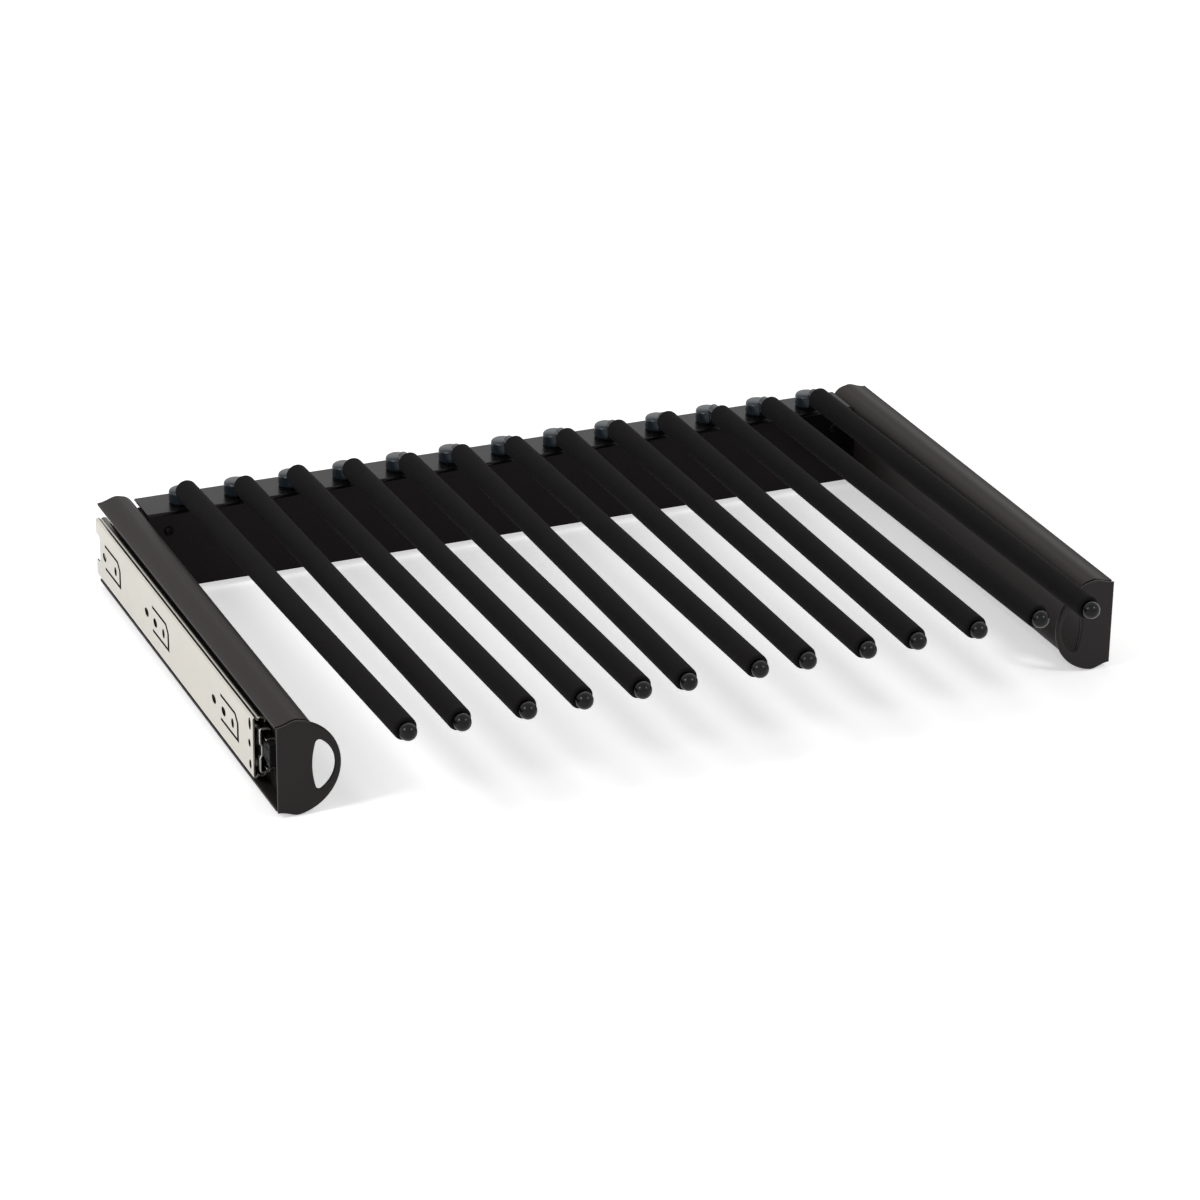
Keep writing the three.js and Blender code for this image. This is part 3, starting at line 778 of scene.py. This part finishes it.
# %% [markdown]
# The rail and the small blocks have the right form in the solid model. Real sheet and
# castings have no perfectly sharp edge, though, so each is copied and its edges are rounded by
# a fraction of a millimetre, which is what catches the light. Drawing them again would only
# repeat the solids. The slides' buffers are made lower than the solids, and raised a little,
# to stand in the open channels as they do on the real slides.
# %% Rail, blocks, buffers and screws
BUFFER_SHARE = 0.7
BUFFER_RAISE = 1.2 * MM
BUFFER_FIT = (Matrix.Translation((0, 0, SLIDE_MIDDLE + BUFFER_RAISE))
              @ Matrix.Diagonal((1, 1, BUFFER_SHARE, 1))
              @ Matrix.Translation((0, 0, -SLIDE_MIDDLE)))


def eased_piece(name, node, slot, material, width, fit=None):
    piece = finish_mesh(eased(name, node, width), material, angle=35)
    if fit:
        piece.data.transform(fit)
    settle(piece, "rack", slot, node)
    print(name, len(piece.data.polygons), "faces")


eased_piece("folded_rail", "rear_rail", "rail_black", RAIL_BLACK, 0.25 * MM)
for name, node, slot, material, width, fit in (
        ("corner_casting", "corner_block", "block_grey", BLOCK_GREY, 0.4 * MM, None),
        ("drawer_buffer", "slide_buffer", "buffer_grey", BUFFER_GREY, 0.3 * MM, BUFFER_FIT),
        ("socket_screw", "rail_screw", "screw_black", SCREW_BLACK, 0.15 * MM, None)):
    for word in SIDES:
        eased_piece(f"{name}_{word}", f"{node}_{word}", slot, material, width, fit)


# %% [markdown]
# The middle and drawer members are folded strip. A line down the middle of the sheet is
# drawn with true arcs at its bends and then given the sheet's thickness, so that the curled
# edges shine in the open front of the profile as they do on a real slide.
# %% Folded slide members
SHEET = 1.2 * MM
BEND = 1.6 * MM
MEMBER_EDGE = 0.15 * MM
MIDDLE_HALF = in_mm((10.0, 14.4), (9.2, 15.7), (6.6, 15.9), (4.2, 16.05), (3.3, 15.1),
                    (3.3, 5.6), (4.5, 3.4), (4.5, 0))
DRAWER_HALF = in_mm((5.3, 10.6), (12.1, 10.6))


def raised(outline):
    return [Vector((p.x, p.y + SLIDE_MIDDLE)) for p in outline]


def folded_member(name, side, node, upper_half, material):
    low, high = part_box(node)
    section = raised(strip(rounded(mirrored(upper_half), BEND), SHEET))
    piece = run_forward(name, side, HALF_WIDTH, [section], high[1], low[1], MEMBER_EDGE)
    return finish_mesh(piece, material)


for word, side in SIDES.items():
    node = f"slide_middle_member_{word}"
    piece = folded_member(f"middle_channel_{word}", side, node, MIDDLE_HALF, ZINC_MIDDLE)
    settle(piece, f"middle_member_{word}", "slide_zinc", node)
    node = f"slide_drawer_member_{word}"
    piece = folded_member(f"drawer_channel_{word}", side, node, DRAWER_HALF, ZINC_DRAWER)
    settle(piece, "rack", "slide_zinc", node)
print("folded members done")


# %% [markdown]
# The wall channel is the member that screws to the wardrobe. Its top and bottom edges are
# rolled round the outer balls, with a small valley between the roll and the bend of the
# web. An arc with a rounded line behind it draws half of the sheet, and the mirror the rest.
# %% Section of the wall channel
RACE_INSET = 6.2 * MM
RACE_HEIGHT = 18.9 * MM
RACE_RADIUS = 2.75 * MM
RACE_TURN = (-20, 140)
VALLEY = (3.45, 20.15)
BEND_INSET = 2.3 * MM
VALLEY_BEND = 0.9 * MM


def channel_half():
    """The middle line of the sheet, from the roll's free edge to the middle of the web."""
    race = arc(RACE_INSET, RACE_HEIGHT, RACE_RADIUS, *RACE_TURN, 16)
    web, top = SHEET / 2, SLIDE_HALF - SHEET / 2
    bend = [Vector((BEND_INSET, top)), Vector((web, top)), Vector((web, 0))]
    return race + rounded([race[-1], *in_mm(VALLEY), *bend], VALLEY_BEND, 5)[1:]


print("points in half of the sheet:", len(channel_half()))


# %% [markdown]
# A press punches the web: two screw holes, three spring tabs, each cut free by a slit, three
# slots near the front and a notch behind. They pass through the web from its side, where the
# section can't hold them, so one solid made of them all is cut out of the channel. Their
# sizes are in millimetres, forward of the rear end and up from the middle, as a toolmaker
# lists them.
# %% Punched shapes
# where each tab starts, and how much further forward its hole stands
TAB_HOLES = {21: -1.5, 133: 6.2, 283: 6.2}
TAB_HOLE_SIZE = (8.5, 6.4)
TAB_LENGTH = 34
TAB_HALF = 7.9
TAB_CHAMFER = 4.7
TAB_CORNER = 1.2 * MM
SLIT = 2.2
END_SLIT = 3.7
SLIT_CHAMFER = 5.7
SLIT_CORNER = 3 * MM
PILOT_FORWARD = 25
PILOT_SIZE = (5.6, 7)
SCREW_HOLES = (119.8, 268.8)
SCREW_SIZE = (9, 6.2)
HOLE_DROP = -0.9
OVAL_SIDES = 24
NOTCH = ((-2, -10), (6, -10), (8.5, -7.5), (8.5, 8.5), (6, 11), (-2, 11))
# how far behind the front end, how far up, how long and how high
FRONT_SLOTS = ((5.8, 15.6, 4.8, 9), (7, 0.8, 5, 5.6), (6.2, -14.5, 4.6, 6.8))


def oval(forward, middle, along, high):
    return [Vector((forward + along / 2 * p.x, middle + high / 2 * p.y)) * MM
            for p in arc(0, 0, 1, 0, 360 - 360 / OVAL_SIDES, OVAL_SIDES - 1)]


def tab_slit(start):
    """The slit round the three free sides of a tab, wider at its front."""
    end, top = start + TAB_LENGTH, TAB_HALF + SLIT
    far = end + END_SLIT
    outer = in_mm((start, top), (far - SLIT_CHAMFER, top), (far, top - SLIT_CHAMFER),
                  (far, -top), (start, -top))
    inner = in_mm((start, -TAB_HALF), (end, -TAB_HALF), (end, TAB_HALF - TAB_CHAMFER),
                  (end - TAB_CHAMFER, TAB_HALF), (start, TAB_HALF))
    bends = rounded(outer[:4], SLIT_CORNER)
    return bends + outer[4:] + inner[:2] + rounded(inner[1:], TAB_CORNER)[1:]


def punched_shapes():
    shapes = [in_mm(*NOTCH)]
    for start, hole in TAB_HOLES.items():
        shapes += [tab_slit(start), oval(start + hole, HOLE_DROP, *TAB_HOLE_SIZE),
                   oval(start + PILOT_FORWARD, HOLE_DROP, *PILOT_SIZE)]
    shapes += [oval(forward, HOLE_DROP, *SCREW_SIZE) for forward in SCREW_HOLES]
    length = (SLIDE_REAR - SLIDE_FRONT) / MM
    return shapes + [oval(length - behind, *sizes) for behind, *sizes in FRONT_SLOTS]


print("punched shapes:", len(punched_shapes()))


# %% Wall channels
PUNCH_DEPTH = 3 * MM
CHANNEL_EDGE = 0.12 * MM
# what is drawn as X runs forward, and what is drawn as Y runs up
FORWARD_AND_UP = Matrix(((0, 0, 1, 0), (-1, 0, 0, 0), (0, 1, 0, 0), (0, 0, 0, 1)))


def punches(side):
    """The punched shapes as one solid that passes through the web."""
    solids = [prism("punch", [line], PUNCH_DEPTH, 0) for line in punched_shapes()]
    piece = joined("punches", solids)
    web = Matrix.Translation((side * (HALF_WIDTH - SHEET / 2), SLIDE_REAR, SLIDE_MIDDLE))
    piece.data.transform(web @ FORWARD_AND_UP)
    welded(piece.data)
    return piece


for word, side in SIDES.items():
    section = raised(strip(mirrored(channel_half()), SHEET))
    blank = run_forward("blank", side, HALF_WIDTH, [section], SLIDE_REAR, SLIDE_FRONT,
                        CHANNEL_EDGE)
    piece = cut_or_joined(f"wall_channel_{word}", blank, [punches(side)], "DIFFERENCE", "EXACT")
    settle(finish_mesh(piece, ZINC, angle=32), "cabinet_members", "slide_zinc",
           f"slide_cabinet_member_{word}")
    print(piece.name, len(piece.data.polygons), "faces")


# %% [markdown]
# What repeats is a pattern, and a geometry node tree makes patterns best: it is built once,
# and named inputs give each use its sizes. The export drops instances, so every tree ends
# by making them real and setting their material.
# %% Trees of geometry nodes
class Pattern:
    """A geometry node tree with named inputs."""

    def __init__(self, name, **inputs):
        self.group = bpy.data.node_groups.new(name, "GeometryNodeTree")
        face = self.group.interface
        face.new_socket("Geometry", in_out="OUTPUT", socket_type="NodeSocketGeometry")
        for key, kind in inputs.items():
            face.new_socket(key.replace("_", " "), in_out="INPUT",
                            socket_type=f"NodeSocket{kind}")
        self.given = add_node(self.group, "NodeGroupInput", {}, {}).outputs

    def add(self, kind, settings, inputs):
        return add_node(self.group, kind, settings, inputs).outputs[0]

    def maths(self, operation, first, second):
        return self.add("ShaderNodeMath", {"operation": operation}, {0: first, 1: second})

    def together(self, parts):
        node = add_node(self.group, "GeometryNodeJoinGeometry", {}, {})
        for part in parts:
            self.group.links.new(part, node.inputs["Geometry"])
        return node.outputs[0]

    def ended(self, geometry):
        real = self.add("GeometryNodeRealizeInstances", {}, {"Geometry": geometry})
        painted = self.add("GeometryNodeSetMaterial", {},
                           {"Geometry": real, "Material": self.given["Finish"]})
        add_node(self.group, "NodeGroupOutput", {}, {"Geometry": painted})
        return self.group


def grown(name, group, **values):
    """The plain mesh that a tree gives for these input values."""
    piece = object_of(name, bpy.data.meshes.new(name + " seed"))
    step = piece.modifiers.new("tree", "NODES")
    step.node_group = group
    sockets = {item.name: item.identifier for item in group.interface.items_tree
               if item.in_out == "INPUT"}
    for key, value in values.items():
        step[sockets[key.replace("_", " ")]] = value
    return as_mesh(piece, name)


print("trees are built by a", Pattern.__name__)


# %% [markdown]
# Each slide has two ball cages. A cage is a strip with a row of balls on each edge. A loop
# could place the balls one by one. In a tree, a line of points takes a ball on each, and that
# row is moved up by Rise for one edge, and down by Rise for the other.
# %% A tree that lays rows of balls
def ball_row_tree():
    tree = Pattern("ball rows", Balls="Int", Radius="Float", Spacing="Float", Middle="Vector",
                   Rise="Float", Finish="Material")
    ball = tree.add("GeometryNodeMeshIcoSphere", {},
                    {"Radius": tree.given["Radius"], "Subdivisions": 3})
    step = tree.add("ShaderNodeCombineXYZ", {}, {"Y": tree.given["Spacing"]})
    line = tree.add("GeometryNodeMeshLine", {}, {"Count": tree.given["Balls"], "Offset": step})
    row = tree.add("GeometryNodeInstanceOnPoints", {}, {"Points": line, "Instance": ball})
    rows = []
    for sign in (1, -1):
        up = tree.add("ShaderNodeCombineXYZ", {},
                      {"Z": tree.maths("MULTIPLY", tree.given["Rise"], sign)})
        place = tree.add("ShaderNodeVectorMath", {"operation": "ADD"},
                         {0: tree.given["Middle"], 1: up})
        rows.append(tree.add("GeometryNodeTransform", {}, {"Geometry": row,
                                                           "Translation": place}))
    return tree.ended(tree.together(rows))


BALL_ROWS = ball_row_tree()
print("tree:", BALL_ROWS.name)


# %% Ball cages
CAGE_SHEET = 0.7 * MM
CAGE_REACH = 2 * MM
CAGE_BEND = 0.6 * MM
CAGE_EDGE = 0.08 * MM
BALLS = 12
CAGES = {
    "outer": {"web": 1.6 * MM, "row": RACE_HEIGHT, "balls": RACE_INSET, "radius": 1.9 * MM,
              "wave": []},
    "inner": {"web": 4.2 * MM, "row": 13.2 * MM, "balls": 7 * MM, "radius": 1.7 * MM,
              "wave": in_mm((4.55, 5.9), (5.75, 3.7), (5.75, 0))},
}


def ball_cage(order, word, side, sizes):
    """One cage on its own body: its strip, bent round behind the balls, and its balls."""
    node, body = f"{order}_ball_cage_{word}", f"{order}_cage_{word}"
    low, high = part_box(node)
    half = [Vector((sizes["balls"] + CAGE_REACH, sizes["row"])),
            Vector((sizes["web"] + CAGE_SHEET / 2, sizes["row"])), *sizes["wave"]]
    section = raised(strip(rounded(mirrored(half), CAGE_BEND, 4), CAGE_SHEET))
    channel = run_forward(f"{order}_cage_strip_{word}", side, HALF_WIDTH, [section], high[1],
                          low[1], CAGE_EDGE)
    settle(finish_mesh(channel, CAGE), body, "cage_steel", node)
    spacing = (high[1] - low[1]) / BALLS
    middle = (side * (HALF_WIDTH - sizes["balls"]), low[1] + spacing / 2, SLIDE_MIDDLE)
    balls = grown(f"{order}_balls_{word}", BALL_ROWS, Balls=BALLS, Radius=sizes["radius"],
                  Spacing=spacing, Middle=middle, Rise=sizes["row"], Finish=BALL_STEEL)
    balls.data.shade_smooth()
    settle(balls, body, "cage_steel")


for word, side in SIDES.items():
    for order, sizes in CAGES.items():
        ball_cage(order, word, side, sizes)
print("ball cages done, with", BALLS, "balls in each row")


# %% [markdown]
# Each trouser bar points almost straight forward: the holders stand in round holes, and
# every one has turned a little. The bars' own solids say where each one lies. A turned rod
# with a ball on its end is made once for each bar and laid along that line.
# %% Where each bar lies
HOLDER_INSET = 17 * MM
BAR_HEIGHT = 13 * MM
TAIL = 2 * MM


def bar_frame(number):
    """A place at the holder's axis on the rail, with -Y turned along the bar."""
    corners = [Vector(v.co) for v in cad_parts[f"trouser_bar_{number}"].data.vertices]
    front = min(corners, key=lambda v: v.y)
    rear = max(v.y for v in corners)
    back = [v for v in corners if v.y > rear - TAIL]
    tail = sum(back, Vector()) / len(back)
    turn = atan2(front.x - tail.x, tail.y - front.y)
    pivot_y = REAR - HOLDER_INSET
    pivot_x = tail.x - (pivot_y - tail.y) * tan(turn)
    return Matrix.Translation((pivot_x, pivot_y, RAIL_TOP)) @ Matrix.Rotation(turn, 4, "Z")


PLACES = {number: bar_frame(number) for number in BARS}
for number in BARS[:3]:
    print("bar", number, [round(c / MM, 1) for c in PLACES[number].translation])


# %% Rods with their balls
ROD_RADIUS = 3 * MM
ROD_EASE = 0.4 * MM
ROD_START = 9.8 * MM
ROD_SIDES = 40
BALL_RADIUS = 6.1 * MM
BAR_REACH = 434 * MM
FORWARD = Matrix.Translation((0, 0, BAR_HEIGHT)) @ Matrix.Rotation(pi / 2, 4, "X")


def rod_outline():
    neck = sqrt(BALL_RADIUS ** 2 - ROD_RADIUS ** 2)
    start = degrees_of(Vector((ROD_RADIUS, -neck)))
    ball = arc(0, BAR_REACH, BALL_RADIUS, start, 90, 28)
    ball[-1].x = 0
    return [Vector((0, ROD_START)), Vector((ROD_RADIUS - ROD_EASE, ROD_START)),
            Vector((ROD_RADIUS, ROD_START + ROD_EASE)), *ball]


for number in BARS:
    piece = turned(f"ball_rod_{number}", rod_outline(), ROD_SIDES, PLACES[number] @ FORWARD)
    settle(finish_mesh(piece, GLOSS), "rack", "bar_black", f"trouser_bar_{number}")
print("rods done, each with", len(piece.data.polygons), "faces")


# %% [markdown]
# A foam sleeve is a thick tube with soft ends, cut to its length on each bar. It could be
# turned like the rod, but a tree shows what it is made of: a rounded rectangle, the wall of
# the tube, swept round a circle. The same tree makes all thirteen sleeves.
# %% A tree that makes a foam sleeve
def sleeve_tree():
    tree = Pattern("foam sleeve", Outer_Radius="Float", Bore_Radius="Float", Start="Float",
                   Length="Float", Rounding="Float", Sides="Int", Finish="Material")
    outer, bore = tree.given["Outer Radius"], tree.given["Bore Radius"]
    length = tree.given["Length"]
    wall = tree.maths("SUBTRACT", outer, bore)
    middle = tree.maths("MULTIPLY", tree.maths("ADD", outer, bore), 0.5)
    section = tree.add("GeometryNodeCurvePrimitiveQuadrilateral", {},
                       {"Width": wall, "Height": length})
    soft = tree.add("GeometryNodeFilletCurve", {"mode": "POLY"},
                    {"Curve": section, "Radius": tree.given["Rounding"], "Count": 6})
    circle = tree.add("GeometryNodeCurvePrimitiveCircle", {},
                      {"Resolution": tree.given["Sides"], "Radius": middle})
    tube = tree.add("GeometryNodeCurveToMesh", {}, {"Curve": circle, "Profile Curve": soft})
    half = tree.maths("MULTIPLY", length, 0.5)
    place = tree.add("ShaderNodeCombineXYZ", {},
                     {"Z": tree.maths("ADD", tree.given["Start"], half)})
    moved = tree.add("GeometryNodeTransform", {}, {"Geometry": tube, "Translation": place})
    return tree.ended(moved)


SLEEVE = sleeve_tree()
print("tree:", SLEEVE.name)


# %% Foam sleeves
FOAM_RADIUS = 8.2 * MM
FOAM_BORE = 4.6 * MM
FOAM_ROUNDING = 1.5 * MM
FOAM_SIDES = 48


def foam_ends(number):
    """How far in front of its holder's axis a sleeve starts and ends."""
    home = PLACES[number].inverted()
    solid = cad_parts[f"foam_sleeve_{number}"].data
    reach = [-(home @ v.co).y for v in solid.vertices]
    return min(reach), max(reach)


for number in BARS:
    start, end = foam_ends(number)
    piece = grown(f"foam_tube_{number}", SLEEVE, Outer_Radius=FOAM_RADIUS,
                  Bore_Radius=FOAM_BORE, Start=start, Length=end - start,
                  Rounding=FOAM_ROUNDING, Sides=FOAM_SIDES, Finish=FOAM)
    piece.data.transform(PLACES[number] @ FORWARD)
    welded(piece.data)
    settle(finish_mesh(piece, FOAM), "rack", "foam_black", f"foam_sleeve_{number}")
print("sleeves done, each with", len(piece.data.polygons), "faces")


# %% [markdown]
# The holder is one moulding: a domed drum, a spigot that snaps into the rail, and a barrel
# that takes the rod, held by a short neck. Each part is turned or run out, the three are
# joined into one solid, and the seams between them are rounded as a mould would leave them.
# %% Parts of a holder
RAIL_SHEET = 1.5 * MM
DRUM_RADIUS = 9 * MM
DRUM_WALL = 7 * MM
DRUM_CROWN = 3.8 * MM
DOME_FULLNESS = 0.66
DOME_ANGLES = (0, 2, 5, 10, 16, 24, 34, 44, 54, 64, 72, 79, 85, 88)
FOOT_HEIGHT = 1.2 * MM
FOOT_INSET = 0.9 * MM
SPIGOT = {"head": 5 * MM, "tip": 3.2 * MM, "neck": 3.9 * MM, "high": 3.2 * MM}
SOFT = 0.7 * MM
BARREL_RADIUS = 4.3 * MM
BARREL_REAR = 8 * MM
BARREL_FRONT = 26 * MM
BARREL_LIP = 0.5 * MM
NOSE_SHARE = 0.7
BORE_RADIUS = 3.3 * MM
BORE_START = 9.5 * MM
BORE_END = 30 * MM


def drum_outline():
    under = -RAIL_SHEET - FIT_GAP
    head, tip, neck, high = SPIGOT.values()
    foot = DRUM_RADIUS - FOOT_INSET
    spigot = [(0, under - high), (tip - SOFT, under - high), (tip, under - high + SOFT / 2),
              (head, under - high / 2), (head, under), (neck, under), (neck, FIT_GAP)]
    wall = [(foot, FIT_GAP), (foot, FOOT_HEIGHT), (DRUM_RADIUS - SOFT / 3, FOOT_HEIGHT),
            (DRUM_RADIUS, FOOT_HEIGHT + SOFT / 3)]
    dome = [(DRUM_RADIUS * cos(radians(a)) ** DOME_FULLNESS,
             DRUM_WALL + DRUM_CROWN * sin(radians(a)) ** DOME_FULLNESS) for a in DOME_ANGLES]
    return [*spigot, *wall, *dome, (0, DRUM_WALL + DRUM_CROWN)]


def barrel_outline():
    nose = [(BARREL_RADIUS * p.x, BARREL_REAR + BARREL_RADIUS * NOSE_SHARE * (1 + p.y))
            for p in arc(0, 0, 1, 270, 360, 10)]
    return [*nose, (BARREL_RADIUS, BARREL_FRONT - BARREL_LIP),
            (BARREL_RADIUS - BARREL_LIP, BARREL_FRONT), (0, BARREL_FRONT)]


def bore_outline():
    return [(0, BORE_START), (BORE_RADIUS, BORE_START), (BORE_RADIUS, BORE_END), (0, BORE_END)]


print("points on a drum:", len(drum_outline()))


# %% Holders
NECK_FRONT = 10 * MM
NECK_TOP = 9.5 * MM
NECK_WIDTH = 5.2 * MM
NECK_EDGE = 0.5 * MM
NECK_LIFT = 0.35 * MM
NECK_INSET = 0.3 * MM
SEAM = 0.35 * MM
SEAM_ANGLE = 35
DRUM_SIDES = 48
BARREL_SIDES = 36
# what is drawn as X runs back along the bar, and what is drawn as Y runs up
ACROSS = Matrix(((0, 0, 1, 0), (1, 0, 0, 0), (0, 1, 0, 0), (0, 0, 0, 1)))


def neck_piece():
    """The web between drum and barrel, drawn from the side: (along the bar, up)."""
    low = FOOT_HEIGHT + NECK_LIFT
    corners = [(0, low), (NECK_INSET - DRUM_RADIUS, low), (-NECK_FRONT, BARREL_RADIUS),
               (-NECK_FRONT, BAR_HEIGHT), (-NECK_TOP, BAR_HEIGHT), (0, DRUM_WALL)]
    piece = prism("neck", [[Vector(c) for c in corners]], NECK_WIDTH, NECK_EDGE)
    piece.data.transform(ACROSS)
    return piece


def holder_mesh():
    drum = turned("drum", drum_outline(), DRUM_SIDES, Matrix.Identity(4))
    barrel = turned("barrel", barrel_outline(), BARREL_SIDES, FORWARD)
    bore = turned("bore", bore_outline(), BARREL_SIDES, FORWARD)
    body = cut_or_joined("body", drum, [barrel, neck_piece()], "UNION")
    piece = cut_or_joined("holder", body, [bore], "DIFFERENCE")
    welded(piece.data)
    return bevelled(piece, "holder", SEAM, SEAM_ANGLE)


holder = holder_mesh()
for number in BARS:
    piece = object_of(f"holder_moulding_{number}", holder.data.copy())
    piece.data.transform(PLACES[number])
    finish_mesh(piece, HOLDER_GREY, angle=32)
    settle(piece, "rack", "holder_grey", f"bar_holder_{number}")
bpy.data.objects.remove(holder)
print("holders done, each with", len(piece.data.polygons), "faces")


# %% [markdown]
# The rack lies on a plain white floor under soft studio light. A large lamp behind draws the
# long sheen on the black profiles. Two smaller ones, on the left and in front on the right,
# leave the two small lights that each glossy ball shows. The floor and the world are white to
# the camera and to reflections, and lend the rack itself only a plain, even light.
# %% Floor
FLOOR_HALF = 6.0
FLOOR_DROP = 0.5 * MM
FLOOR_GLOW = 0.45
FLOOR_COLOR = (0.9, 0.9, 0.9, 1)


def seen_directly(tree):
    """1 for the camera and for what mirrors and glass show, 0 for light on the rack."""
    path = add_node(tree, "ShaderNodeLightPath", {}, {}).outputs
    seen = path["Is Camera Ray"]
    for ray in ("Is Glossy Ray", "Is Transmission Ray"):
        largest = add_node(tree, "ShaderNodeMath", {"operation": "MAXIMUM"},
                           {0: seen, 1: path[ray]})
        seen = largest.outputs[0]
    return seen


def white_floor():
    material = bpy.data.materials.new("studio floor")
    material.use_nodes = True
    tree = material.node_tree
    shader = tree.nodes["Principled BSDF"]
    for name, value in {"Base Color": FLOOR_COLOR, "Roughness": 0.9,
                        "Specular IOR Level": 0.1, "Emission Strength": FLOOR_GLOW}.items():
        shader.inputs[name].default_value = value
    tree.links.new(seen_directly(tree), shader.inputs["Emission Color"])
    return material


def stage_floor():
    mesh = bpy.data.meshes.new("studio_floor")
    corners = [(x * FLOOR_HALF, y * FLOOR_HALF, 0)
               for x, y in ((-1, -1), (1, -1), (1, 1), (-1, 1))]
    mesh.from_pydata([Vector(c) for c in corners], [], [(0, 1, 2, 3)])
    mesh.materials.append(white_floor())
    floor = object_of("studio_floor", mesh)
    floor.location.z = -FLOOR_DROP


stage_floor()
print("a floor of", 2 * FLOOR_HALF, "metres")


# %% World
WORLD_LIGHT = 0.48
WHITE = (1, 1, 1, 1)


def studio_world():
    world = bpy.data.worlds.new("studio")
    bpy.context.scene.world = world
    world.use_nodes = True
    tree = world.node_tree
    tree.nodes.clear()
    light, backdrop = [
        add_node(tree, "ShaderNodeBackground", {}, {"Color": WHITE, "Strength": strength})
        for strength in (WORLD_LIGHT, 1.0)]
    mix = add_node(tree, "ShaderNodeMixShader", {}, {
        0: seen_directly(tree), 1: light.outputs[0], 2: backdrop.outputs[0]})
    add_node(tree, "ShaderNodeOutputWorld", {}, {"Surface": mix.outputs[0]})


studio_world()
print("the world lights the rack at", WORLD_LIGHT, "of white")


# %% Lamps
# where each hangs, what it points at, how large it is, in metres, and its watts
LAMPS = {
    "back lamp": ((0.2, 2.4, 1.6), (0.05, 0.1, 0), (2.6, 1.5), 7),
    "left lamp": ((-1.75, -0.35, 1.5), (-0.2, 0, 0.03), (0.48, 0.48), 16),
    "front lamp": ((1.0, -1.5, 1.7), (0, -0.1, 0), (0.48, 0.48), 12),
}


def lamp(name, place, target, size, power):
    light = bpy.data.lights.new(name, "AREA")
    light.shape = "RECTANGLE"
    light.size, light.size_y = size
    light.energy = power
    turn = (Vector(target) - Vector(place)).to_track_quat("-Z", "Y")
    object_of(name, light).matrix_world = Matrix.Translation(place) @ turn.to_matrix().to_4x4()


for name, sizes in LAMPS.items():
    lamp(name, *sizes)
print("lamps:", list(LAMPS))


# %% [markdown]
# The camera stands where the photograph's did: some three metres away, to the left and
# about 25 degrees above the rack. Its place comes from matching corners of the rack to the
# picture, and its focal length is that of a long portrait lens.
# %% Camera
FOCAL_PIXELS = 4248.3
PICTURE_PIXELS = 1200
SENSOR_WIDTH = 36
AZIMUTH = 23.481
ELEVATION = 24.914
ROLL = 0.768
# from the middle of the left slide's rear end
CAMERA_FROM_SLIDE = Vector((-787.3, -2733.7, 1272.5)) * MM


def set_camera():
    lens = bpy.data.cameras.new("camera")
    lens.sensor_width = SENSOR_WIDTH
    lens.lens = SENSOR_WIDTH * FOCAL_PIXELS / PICTURE_PIXELS
    lens.clip_start = 10 * MM
    az, el, roll = radians(AZIMUTH), radians(ELEVATION), radians(ROLL)
    ahead = Vector((sin(az) * cos(el), cos(az) * cos(el), -sin(el)))
    right = Vector((cos(az), -sin(az), 0))
    up = right.cross(ahead)
    right, up = cos(roll) * right + sin(roll) * up, cos(roll) * up - sin(roll) * right
    place = CAMERA_FROM_SLIDE + Vector((-HALF_WIDTH, REAR, SLIDE_MIDDLE))
    turn = Matrix((right, up, -ahead)).transposed()
    camera = object_of("camera", lens)
    camera.matrix_world = Matrix.Translation(place) @ turn.to_4x4()
    bpy.context.scene.camera = camera
    return place


bpy.context.scene.view_settings.view_transform = "Standard"
print("camera at", [round(c, 3) for c in set_camera()])
